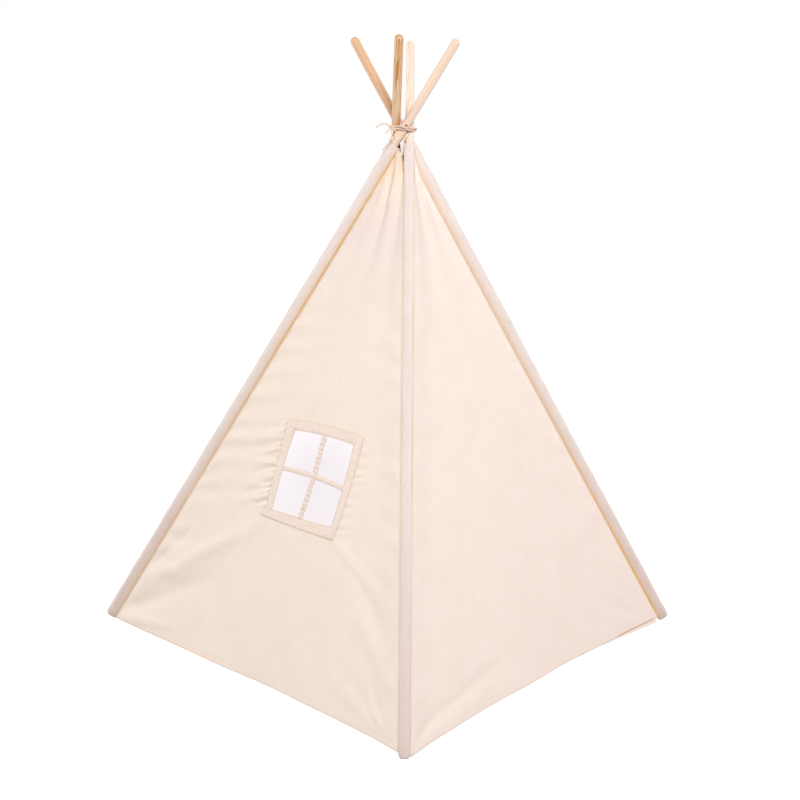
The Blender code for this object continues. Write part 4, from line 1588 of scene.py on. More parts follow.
@dataclass
class WallShape:
    """How one wall's canvas lies: its sag, its hem and peak folds and its own creases."""

    plane: WallPlane
    creases: Sequence[Crease | Fan | Puckers] = ()
    hem: Hem = Hem()
    sag: float = 0.005
    hem_folds: int = 3
    hem_fold_depth: float = 0.005
    peak_folds: int = 2
    peak_fold_depth: float = 0.004
    ripple: float = 0.0005
    broad_waves: float = 11.0  # of the ripple, to a metre
    fine_waves: tuple[float, float] = (31.0, 23.0)
    fine_share: float = 0.4
    seed: float = 0.0
    seam_fade: float = 0.03  # share of the width over which folds fade out at the seams
    hem_step: float = 0.0008
    hem_width: float = 0.020
    hem_fade: float = 0.0015
    peak_bulge: float = 0.007
    peak_start: float = 1.33
    peak_run: float = 0.07
    # strength of the painted shade by the first and the second seam
    seam_shade: tuple[float, float] = (1.0, 1.0)
    seam_slant: float = 0.93  # distance square to the seam, against the level one
    hugs: tuple[float, float] = (0.0, 0.0)
    hug_reach: float = 0.120
    hug_top: float = 1.39
    hug_run: float = 0.05

    def lift(self, share: float, rise: float, place: float, height: float) -> float:
        """Distance of the canvas out of its plane.

        Args:
            share: place from the first pole to the second.
            rise: place from the hem to the peak.
            place: distance from the wall's middle.
            height: height above the floor.

        Returns:
            The distance out of the tent.
        """
        edge = 4 * share * (1 - share)
        hem = self.hem_fold_depth * (1 - rise) ** 4 * math.sin(
            2 * math.pi * self.hem_folds * share)
        peak = self.peak_fold_depth * rise ** 4 * math.sin(
            2 * math.pi * self.peak_folds * share)
        value = edge * (hem + peak) - self.sag * edge * math.sin(math.pi * rise)
        value += sum(crease.at(place, height) for crease in self.creases)
        uneven = noise.noise(Vector((place * self.broad_waves + self.seed,
                                     height * self.broad_waves, self.seed)))
        uneven += self.fine_share * noise.noise(Vector((
            place * self.fine_waves[0], height * self.fine_waves[1] + self.seed, 3.7)))
        value += self.ripple * uneven
        value *= smooth_step(min(share, 1 - share) / self.seam_fade)
        return value + self.peak_bulge * edge * smooth_step(
            (height - self.peak_start) / self.peak_run)

    def hug(self, share: float, height: float) -> Vector:
        """Shift of the canvas where it lies against the side of a sleeve.

        Args:
            share: place from the first pole to the second.
            height: height above the floor.

        Returns:
            The shift.
        """
        turn = 1 if share > 0.5 else 0
        start, end = self.plane.reach(height)
        near = (1 - smooth_step(min(share, 1 - share) * (end - start) / self.hug_reach)) ** 2
        size = self.hugs[turn] * near * smooth_step((self.hug_top - height) / self.hug_run)
        return (self.plane.normal + self.plane.along * (1 if turn else -1)) * size

    def hem_lap(self, from_hem: float, width: float) -> float:
        """How far the doubled cloth of a hem stands out, at a distance from its edge."""
        return self.hem_step * (1 - smooth_step((from_hem - width) / self.hem_fade))

    def lift_at(self, place: float, height: float, top: float) -> float:
        """Lift of the canvas where a piece lies on it.

        Args:
            place: distance from the wall's middle.
            height: height above the floor.
            top: height of the wall's peak.

        Returns:
            The distance out of the tent.
        """
        start, end = self.plane.reach(height)
        share = (place - start) / (end - start)
        low = self.hem.height(share)
        return self.lift(share, (height - low) / (top - low), place, height)

    def seam_values(self, share: float, height: float, low: float) -> tuple[float, float, float]:
        """What the canvas's finish has to know of its seams.

        Args:
            share: place from the first pole to the second.
            height: height above the floor.
            low: height of the hem there.

        Returns:
            Distance to the side seam and to the hem, and how dark the painted shade by the seam
            is.
        """
        start, end = self.plane.reach(height)
        shade = self.seam_shade[0] if share < 0.5 else self.seam_shade[1]
        return (min(share, 1 - share) * (end - start) * self.seam_slant,
                self.plane.drop(height - low), shade)


def graded(count: int, low: float, high: float, gain: float) -> list[float]:
    """Shares from 0 to 1 that lie closer together within a range.

    Args:
        count: steps in all.
        low: start of the range.
        high: end of the range.
        gain: how many times closer they lie there.

    Returns:
        The shares.
    """
    spans = np.linspace(0, 1, 2001)
    middles = (spans[1:] + spans[:-1]) / 2
    weight = np.where((middles > low) & (middles < high), gain, 1.0)
    total = np.concatenate([[0], np.cumsum(weight)])
    return list(np.interp(np.linspace(0, total[-1], count + 1), total, spans))


class Cover:
    """What all the pieces of the cover share."""

    squash_keep = 0.084
    squash_middle = 0.0133

    @staticmethod
    def area(piece: Object) -> float:
        """Area of one side of a sheet."""
        return sum(face.area for face in piece.data.polygons)

    @classmethod
    def hang(cls, mesh: Mesh, finish: Material, thickness: float,
             side: Side, slot: str, nodes: Sequence[str]) -> Object:
        """Hang a piece of cloth on a wall: thicken it and let it ride the wall's body.

        Args:
            mesh: the cloth's mesh.
            finish: its material.
            thickness: its thickness.
            side: the wall.
            slot: the slot of its material.
            nodes: the nodes that it stands for.

        Returns:
            The piece.
        """
        piece = new_object(mesh, finish)
        thicken(piece, thickness)
        settle(piece, side.body, slot, *nodes)
        side.joint
        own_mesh(piece)
        return piece

    @classmethod
    def state(cls, piece: Object, flat: tuple[float, float], *rests_on: str) -> None:
        """Work out the smaller of a sheet's area and its flat size; nothing is kept."""
        min(cls.area(piece), flat[0] * flat[1])


@dataclass
class CanvasWall(Cover):
    """A wall of the cover, blank or with an opening."""

    side: Side
    node: str
    sewn_to: Corner
    shape: WallShape
    columns: int = 120
    rows: int = 150
    edge_share: float = 0.0010  # first and last step across, fine enough for a crisp edge
    hem_share: float = 0.0008
    fine_columns: tuple[float, float, float] = (0.0, 1.0, 1.0)
    fine_rows: tuple[float, float, float] = (0.0, 1.0, 1.0)
    opening: Callable[[float, float], bool] | None = None

    def build(self, finish: Material) -> None:
        """Build the wall's canvas.

        Args:
            finish: its material.
        """
        plane, shape = self.shape.plane, self.shape
        shares = graded(self.columns - 2, *self.fine_columns)
        shares = [0.0, self.edge_share, *shares[1:-1], 1 - self.edge_share, 1.0]
        rises = graded(self.rows - 1, *self.fine_rows)
        rises.insert(1, self.hem_share)

        def place_of(across: float, up: float) -> Spot:
            """Point of the wall at shares of the grid."""
            share, rise = shares[round(across * self.columns)], rises[round(up * self.rows)]
            low = shape.hem.height(share)
            height = low + (TENT.peak_height - low) * rise
            start, end = plane.reach(height)
            place = start + (end - start) * share
            seam = shape.seam_values(share, height, low)
            lift = shape.lift(share, rise, place, height)
            lift += shape.hem_lap(seam[1], shape.hem_width)
            point = plane.point(place, height, lift) + shape.hug(share, height)
            return point, (place, plane.drop(height)), seam

        mesh = grid_mesh(f"{self.side.body}_canvas", self.columns, self.rows, place_of)
        if self.opening:
            self.cut(mesh)
        piece = self.hang(mesh, finish, TENT.canvas, self.side, "cotton_canvas", [self.node])
        self.state(piece, (TENT.base_width, plane.drop(TENT.wall_top)),
                   f"sleeve_cloth_{self.sewn_to.label}")

    def cut(self, mesh: Mesh) -> None:
        """Cut the opening out of the canvas, along the edges of the grid.

        Args:
            mesh: the canvas.
        """
        shape = bmesh.new()
        shape.from_mesh(mesh)
        layer = shape.loops.layers.uv.verify()
        slope = self.shape.plane.drop(1.0)
        inside = []
        for face in shape.faces:
            spots = [loop[layer].uv for loop in face.loops]
            across, up = (sum(values) / len(spots) for values in zip(*spots))
            if self.opening(across, up / slope):
                inside.append(face)
        bmesh.ops.delete(shape, geom=inside, context="FACES")
        shape.to_mesh(mesh)
        shape.free()


@dataclass(frozen=True)
class Strip:
    """A flat tape laid on the window wall, given by the two corners at each of its ends."""

    name: str
    start_edge: tuple[tuple[float, float], tuple[float, float]]
    end_edge: tuple[tuple[float, float], tuple[float, float]]
    layer: int
    bow: tuple[float, float] = (0.0, 0.0)
    nodes: tuple[str, ...] = ()

    def spot(self, across: float, along: float) -> Vector:
        """Find a point of the tape.

        Args:
            across: share across the tape.
            along: share along it.

        Returns:
            The point's place and height.
        """
        start = Vector(self.start_edge[0]).lerp(Vector(self.start_edge[1]), across)
        end = Vector(self.end_edge[0]).lerp(Vector(self.end_edge[1]), across)
        return start.lerp(end, along) + Vector(self.bow) * (4 * along * (1 - along))


@dataclass
class Window(Cover):
    """The window's wide binding, its puckered upright bar and its level bar."""

    shape: WallShape
    left: float = -0.0738
    right: float = 0.150
    bottom: float = 0.435
    top: float = 0.643
    bulge: float = 0.0055  # how far the sides of the hole bow out
    margin: float = 0.003  # of the hole in the canvas beyond the binding's inner edge
    under: float = 0.004  # how far the bars' ends go under the binding
    tape: float = 0.0004
    tape_step: float = 0.004  # length of the tapes' quads
    tape_columns: int = 14
    lap_length: float = 0.030  # where one tape lies on the next
    lap_fade: float = 0.012
    crown: float = 0.0006
    pressed: float = 0.006  # width of a tape's flat edges
    puff: float = 0.0019
    puff_edge: float = 0.005
    rumple: float = 0.9
    rumple_waves: tuple[float, float, float] = (2.2, 30.0, 75.0)
    level_height: float = 0.5375
    level_width: float = 0.0116
    level_thick: float = 0.0015
    level_crown: float = 0.0010
    level_arch: float = 0.0052
    level_fall: float = 0.0065
    level_grid: tuple[int, int] = (8, 60)
    upright_place: float = 0.0370
    upright_width: float = 0.0168
    upright_thick: float = 0.0011
    upright_bow: float = 0.0042
    upright_pucker: float = 0.0122
    upright_grid: tuple[int, int] = (12, 200)
    pucker_lift: float = 0.0016
    pucker_depth: float = 0.0013
    pucker_spread: float = 0.06
    stitch_dent: float = 0.0006
    stitch_reach: float = 0.20  # of the dent, as a share of the bar's width
    strips: tuple[Strip, ...] = (  # as the photograph shows them lying
        Strip("window_tape_top", ((-0.104, 0.6418), (-0.104, 0.6688)),
              ((0.174, 0.6440), (0.174, 0.6702)), 1, (0.0, 0.0065)),
        Strip("window_tape_left", ((-0.0990, 0.4200), (-0.0722, 0.4200)),
              ((-0.1130, 0.6692), (-0.0790, 0.6680)), 2, (-0.0035, 0.0), ("window_binding",)),
        Strip("window_tape_right", ((0.1530, 0.4055), (0.1765, 0.4050)),
              ((0.1462, 0.6680), (0.1764, 0.6701)), 2, (0.0066, 0.0)),
        Strip("window_tape_bottom", ((-0.1144, 0.4085), (-0.1060, 0.4300)),
              ((0.1700, 0.4052), (0.1700, 0.4370)), 3, (0.0, -0.0026)))

    def build(self, finishes: Finishes) -> None:
        """Build the tapes and both bars.

        Args:
            finishes: the tent's materials.
        """
        for strip in self.strips:
            self.build_strip(strip, finishes.tape)
        self.build_level_bar(finishes.bar)
        self.build_upright_bar(finishes.bar)

    def inside(self, place: float, height: float) -> bool:
        """Tell whether a place is in the hole of the canvas, whose sides bow out.

        Args:
            place: distance from the wall's middle.
            height: height above the floor.

        Returns:
            Whether there is no canvas.
        """
        across = (place - self.left) / (self.right - self.left)
        up = (height - self.bottom) / (self.top - self.bottom)
        out = self.margin + self.bulge * 4 * up * (1 - up)
        over = self.margin + self.bulge * 4 * across * (1 - across)
        return (self.left - out < place < self.right + out
                and self.bottom - self.margin < height < self.top + over)

    def canvas_point(self, place: float, height: float, layer: float) -> Vector:
        """Point on the wall's canvas, as many metres out of it as layer says."""
        lift = self.shape.lift_at(place, height, TENT.peak_height)
        return self.shape.plane.point(place, height, lift + layer)

    def lay(self, mesh: Mesh, flat: tuple[float, float], finish: Material,
            thickness: float, nodes: Sequence[str]) -> None:
        """Lay one tape on the wall."""
        piece = self.hang(mesh, finish, thickness, Side.WINDOW, "cotton_tape", nodes)
        self.state(piece, flat, f"{Side.WINDOW.body}_canvas")

    def build_strip(self, strip: Strip, finish: Material) -> None:
        """Build one tape of the binding, a little rumpled and pressed down at its edges.

        Args:
            strip: where it lies.
            finish: its material.
        """
        length = (strip.spot(0.5, 1) - strip.spot(0.5, 0)).length
        width = (strip.spot(1, 0.5) - strip.spot(0, 0.5)).length
        base = (TENT.canvas + self.tape) / 2
        waves = self.rumple_waves

        def place_of(across: float, along: float) -> Spot:
            """Point of the tape at shares across and along it."""
            edge = min(across, 1 - across) * width
            ends = min(along, 1 - along) * length
            lapped = 1 - smooth_step((ends - self.lap_length) / self.lap_fade)
            crown = (self.tape * (strip.layer - 1) * lapped + self.crown
                     * smooth_step(edge / self.pressed) * smooth_step(ends / self.pressed))
            rumple = noise.noise(Vector((across * waves[0] + along * length * waves[1],
                                         along * length * waves[2], strip.layer * 7.0)))
            puff = self.puff * abs(rumple) * smooth_step(edge / self.puff_edge)
            point = self.canvas_point(*strip.spot(across, along),
                                      base + puff + crown * (1 + self.rumple * rumple))
            # the seam values give painted shade along the tape's edges
            return point, (across * width, along * length), (edge, ends, 1.0)

        mesh = grid_mesh(strip.name, self.tape_columns, int(length / self.tape_step), place_of)
        self.lay(mesh, (width, length), finish, self.tape, strip.nodes)

    def build_level_bar(self, finish: Material) -> None:
        """Build the level bar: a tape folded over, thicker at its lower edge.

        Args:
            finish: its material.
        """
        low = self.left - self.margin - self.under
        width, length = self.level_width, self.right + self.margin + self.under - low

        def place_of(across: float, along: float) -> Spot:
            """Point of the bar at shares across and along it."""
            arch = self.level_arch * 4 * along * (1 - along) - self.level_fall * (along - 0.5)
            height = self.level_height + arch + width * (across - 0.5)
            layer = self.level_crown * math.cos(math.pi * (across - 0.35))
            point = self.canvas_point(low + length * along, height, layer)
            # the seam values give painted shade along the bar's lower edge
            return point, (across * width, along * length), (across * width, 1.0, 0.9)

        self.lay(grid_mesh("window_bar_level_tape", *self.level_grid, place_of),
                 (width, length), finish, self.level_thick, ["window_bar_level"])

    def build_upright_bar(self, finish: Material) -> None:
        """Build the upright bar, drawn into puckers by the stitches down its middle.

        Args:
            finish: its material.
        """
        width, length = self.upright_width, self.top - self.bottom + 3 * self.under

        def place_of(across: float, along: float) -> Spot:
            """Point of the bar at shares across and along it."""
            wave = math.sin(2 * math.pi * length * along / self.upright_pucker)
            spread = width * (1 - self.pucker_spread * wave)
            place = (self.upright_place + self.upright_bow * math.sin(math.pi * along)
                     + spread * (across - 0.5))
            middle = bell((across - 0.5) / self.stitch_reach)
            layer = (self.pucker_lift + self.pucker_depth * wave * (1 - 0.5 * middle)
                     - self.stitch_dent * middle)
            point = self.canvas_point(place, self.bottom - self.under + length * along, layer)
            edge = abs(across - 0.5) * width + 0.001
            return point, (across * width, along * length), (edge, 1.0, 0.0)

        self.lay(grid_mesh("window_bar_upright_tape", *self.upright_grid, place_of),
                 (width, length), finish, self.upright_thick, ["window_bar_upright"])


@dataclass
class TurnedHem(Cover):
    """The hem's end of the back wall, which hangs turned out under the wall's edge."""

    shape: WallShape
    start: float = 0.160
    end: float = 0.5600
    height: float = 0.0105
    low_end: float = 0.0022
    fall: float = 0.053  # of its lower edge towards the foot, per metre
    least: float = 0.0012
    lap: float = 0.0020
    lift: float = 0.0026
    flare: float = 0.4
    grow_share: float = 0.45
    sway: float = 0.0005
    sway_waves: float = 11.0  # to the strip's length
    thick: float = 0.0008
    grid: tuple[int, int] = (5, 90)

    def build(self, finish: Material) -> None:
        """Build the turned strip.

        Args:
            finish: its material.
        """
        length = self.end - self.start
        start, end = self.shape.plane.reach(0.01)

        def place_of(across: float, along: float) -> Spot:
            """Point of the strip at shares up and along it."""
            place = self.start + length * along
            top = self.shape.hem.height((place - start) / (end - start)) + self.lap
            bottom = min(self.low_end + self.fall * (self.end - place), top - self.least)
            height = bottom + (top - bottom) * across
            lift = self.lift * smooth_step(along / self.grow_share)
            lift *= 1 + self.flare * (1 - across)
            lift += self.sway * noise.noise(Vector((along * self.sway_waves, across, 4.0)))
            # the seam values give painted shadow along the strip's top edge, under the wall's hem
            return (self.shape.plane.point(place, height, lift),
                    (across * self.height, along * length), (top - height, 1.0, 1.0))

        piece = self.hang(grid_mesh("back_wall_turned_hem", *self.grid, place_of), finish,
                          self.thick, Side.BACK, "cotton_canvas", [])
        self.state(piece, (self.height, length), f"{Side.BACK.body}_canvas")


@dataclass
class DoorWall(Cover):
    """The door: a closed head over two pleated curtains, each held back by a strap."""

    shape: WallShape
    head_height: float = 1.02
    head_gap: float = 0.0003  # between the head and the curtains' tops
    head_band: float = 0.018
    head_grid: tuple[int, int] = (70, 60)
    curtain_grid: tuple[int, int] = (90, 130)
    tie_height: float = 0.52
    hem_height: float = 0.012
    hem_arch: float = 0.012
    meeting_gap: float = 0.0003
    pleat_depth: float = 0.017
    tied_pleat_depth: float = 0.0085
    pleats: int = 5
    pleat_sway: float = 0.03
    sway_waves: tuple[float, float] = (3.0, 4.0)  # to a curtain's width and to a metre
    fine_pleats: float = 2.7  # small folds to a pleat
    fine_lean: float = 9.0  # of the small folds, in radians to a metre
    fine_depth: float = 0.12
    fine_run: float = 0.2
    tied_share: float = 0.85
    floor_share: float = 0.64
    sweep_power: float = 1.6
    top_share: float = 0.45  # width of a curtain's top, as a share of its hem
    edge_share: float = 0.4
    cut_share: float = 0.72  # area of a curtain's cut, as a share of its flat rectangle
    gather: float = 1.35  # cloth in a gathered curtain, against what shows
    least_share: float = 0.31
    strap_tall: float = 0.022
    strap_thick: float = 0.0012
    strap_clearance: float = 0.0022
    strap_clear: float = 0.0008  # of the sleeve
    strap_pull: float = 0.0012
    strap_pulls: float = 160.0  # radians to a metre
    strap_columns: int = 8
    end_steps: int = 4
    round_steps: int = 24

    def fallen(self, height: float) -> tuple[float, float]:
        """How far down a curtain a height is.

        Args:
            height: height above the floor.

        Returns:
            Share of the way from the head to the strap, and from the strap to the hem.
        """
        above = (self.head_height - height) / (self.head_height - self.tie_height)
        below = (self.tie_height - height) / (self.tie_height - self.hem_height)
        return min(max(above, 0.0), 1.0), smooth_step(below)

    def open_share(self, height: float) -> float:
        """Share of the half wall that a curtain leaves open.

        Args:
            height: height above the floor.

        Returns:
            The share.
        """
        above, below = self.fallen(height)
        swing = self.tied_share * math.sin(math.pi / 2 * above) ** self.sweep_power
        return swing + (self.floor_share - self.tied_share) * below

    def pleat_lift(self, share: float, height: float, turn: float) -> float:
        """How far a curtain's pleats stand out of the wall.

        Args:
            share: place across the curtain from its seam.
            height: height above the floor.
            turn: +1 or -1, for the left and the right curtain.

        Returns:
            The lift out of the wall.
        """
        above, below = self.fallen(height)
        depth = (self.tied_pleat_depth * smooth_step(above)
                 + (self.pleat_depth - self.tied_pleat_depth) * below)
        ramp = smooth_step(share * self.pleats / 2)
        across, up = self.sway_waves
        sway = self.pleat_sway * noise.noise(Vector((share * across, height * up, turn * 5)))
        wave = math.sin(2 * math.pi * self.pleats * (share + sway))
        fine = self.fine_depth * math.sin(
            2 * math.pi * self.pleats * self.fine_pleats * share + height * self.fine_lean)
        return depth * ramp * (wave + fine * smooth_step(
            (height - self.tie_height) / self.fine_run))

    def build(self, finishes: Finishes) -> None:
        """Build the head, the curtains and their straps.

        Args:
            finishes: the tent's materials.
        """
        self.build_head(finishes.wall)
        for name, turn in (("left", 1), ("right", -1)):
            self.build_curtain(name, turn, finishes.wall)
            self.build_strap(name, turn, finishes.tape)

    def build_head(self, finish: Material) -> None:
        """Build the closed part of the wall above the curtains.

        Args:
            finish: its material.
        """
        plane = self.shape.plane
        tall = TENT.peak_height - self.head_height

        def place_of(share: float, rise: float) -> Spot:
            """Point of the head at shares across and up it."""
            height = self.head_height + self.head_gap + tall * rise
            start, end = plane.reach(height)
            place = start + (end - start) * share
            lift = self.shape.lift(share, height / TENT.peak_height, place, height)
            seam = self.shape.seam_values(share, height, self.head_height)
            lift = lift * smooth_step(2 * rise) + self.shape.hem_lap(seam[1], self.head_band)
            return plane.point(place, height, lift), (place, plane.drop(height)), seam

        piece = self.hang(grid_mesh("door_wall_head", *self.head_grid, place_of), finish,
                          TENT.canvas, Side.DOOR, "cotton_canvas", ["door_head"])
        start, end = plane.reach(self.head_height)
        self.state(piece, (end - start, plane.drop(tall)),
                   f"sleeve_cloth_{Corner.FRONT_LEFT.label}")

    def build_curtain(self, name: str, turn: int, finish: Material) -> None:
        """Build one curtain, drawn back to its pole.

        Args:
            name: which curtain it is.
            turn: +1 or -1, for the left and the right curtain.
            finish: its material.
        """
        plane = self.shape.plane
        top = self.head_height - self.head_gap
        start, end = plane.reach(self.hem_height)
        width, length = (end - start) / 2, plane.drop(top - self.hem_height)

        def place_of(share: float, rise: float) -> Spot:
            """Point of the curtain at shares across and up it."""
            low = self.hem_height + self.hem_arch * math.sin(math.pi * share) ** 2
            height = low + (top - low) * rise
            start, end = plane.reach(height)
            middle = (start + end) / 2
            seam = start if turn > 0 else end
            edge = (middle - turn * self.meeting_gap
                    + (seam - middle) * self.open_share(height))
            from_edge = min(share, 1 - share) * width * (1 - (1 - self.edge_share) * rise)
            # the seam values give half-strength painted shade along the curtain's edges
            return (plane.point(seam + (edge - seam) * share, height,
                                self.pleat_lift(share, height, turn)),
                    (share * width * (1 - (1 - self.top_share) * rise), plane.drop(height)),
                    (from_edge, plane.drop(height - low), 0.5))

        mesh = grid_mesh(f"door_curtain_cloth_{name}", *self.curtain_grid, place_of)
        piece = self.hang(mesh, finish, TENT.canvas, Side.DOOR, "cotton_canvas",
                          [f"door_curtain_{name}"])
        cloth = min(width * length * self.cut_share, self.area(piece) * self.gather)

    def strap_line(self, turn: int) -> tuple[list[tuple[float, float]], Vector, Vector]:
        """Middle line of a strap: out along the gathered canvas, round it and back.

        Args:
            turn: +1 or -1, for the left and the right curtain.

        Returns:
            Reach and lift of each point, the pole's point behind the strap and the direction
            of the reach.
        """
        plane = self.shape.plane
        line = plane.first if turn > 0 else plane.second
        seam = line.seam(turn, self.tie_height)
        middle = line.foot + line.axis * (seam - line.foot).dot(line.axis)
        across = (plane.along - line.axis * plane.along.dot(line.axis)).normalized() * turn
        start, end = plane.reach(self.tie_height)
        gathered = (end - start) / 2 * (1 - self.tied_share) * abs(across.dot(plane.along))
        seam_reach = (seam - middle).dot(across)
        canvas_lift = (seam - middle).dot(plane.normal)
        half = self.tied_pleat_depth + self.strap_clearance + self.strap_thick
        outer, inner = canvas_lift + half, canvas_lift - half
        side = line.side * turn
        outer_end = ((TENT.sleeve_half_width + TENT.seam_gap + self.strap_clear
                      - (outer - self.strap_thick / 2) * plane.normal.dot(side))
                     / across.dot(side))
        inner_end = ((-TENT.sleeve_depth - TENT.seam_gap
                      - (inner + self.strap_thick / 2) * plane.normal.dot(line.outward))
                     / across.dot(line.outward))
        shares = [step / self.end_steps for step in range(self.end_steps + 1)]
        places = [(outer_end + (seam_reach - outer_end) * share, outer) for share in shares[:-1]]
        for step in range(self.round_steps + 1):
            angle = math.pi / 2 - math.pi * step / self.round_steps
            places.append((seam_reach + gathered + half * math.cos(angle) / 2,
                           canvas_lift + half * math.sin(angle)))
        places += [(seam_reach + (inner_end - seam_reach) * share, inner) for share in shares]
        return places, middle, across

    def build_strap(self, name: str, turn: int, finish: Material) -> None:
        """Build one strap round a gathered curtain.

        Args:
            name: which curtain's it is.
            turn: +1 or -1, for the left and the right curtain.
            finish: its material.
        """
        plane = self.shape.plane
        line = plane.first if turn > 0 else plane.second
        places, middle, across = self.strap_line(turn)
        run = lengths_along(places)

        def place_of(share: float, rise: float) -> Spot:
            """Point of the strap at shares across and along it."""
            at = round(rise * (len(places) - 1))
            reach, lift = places[at]
            pull = self.strap_pull * math.sin(run[at] * self.strap_pulls)
            pull *= 1 - 2 * abs(share - 0.5)
            point = (middle + across * reach + plane.normal * lift
                     + line.axis * (self.strap_tall * (share - 0.5) + pull))
            edge = min(share, 1 - share) * self.strap_tall
            # the seam values give painted shade along the strap's edges
            return point, (share * self.strap_tall, run[at]), (edge, 1.0, 0.6)

        mesh = grid_mesh(f"door_strap_{name}", self.strap_columns, len(places) - 1, place_of)
        piece = self.hang(mesh, finish, self.strap_thick, Side.DOOR, "cotton_tape",
                          [f"door_tieback_{name}"])
        self.state(piece, (self.strap_tall, float(run[-1])), f"door_curtain_cloth_{name}")


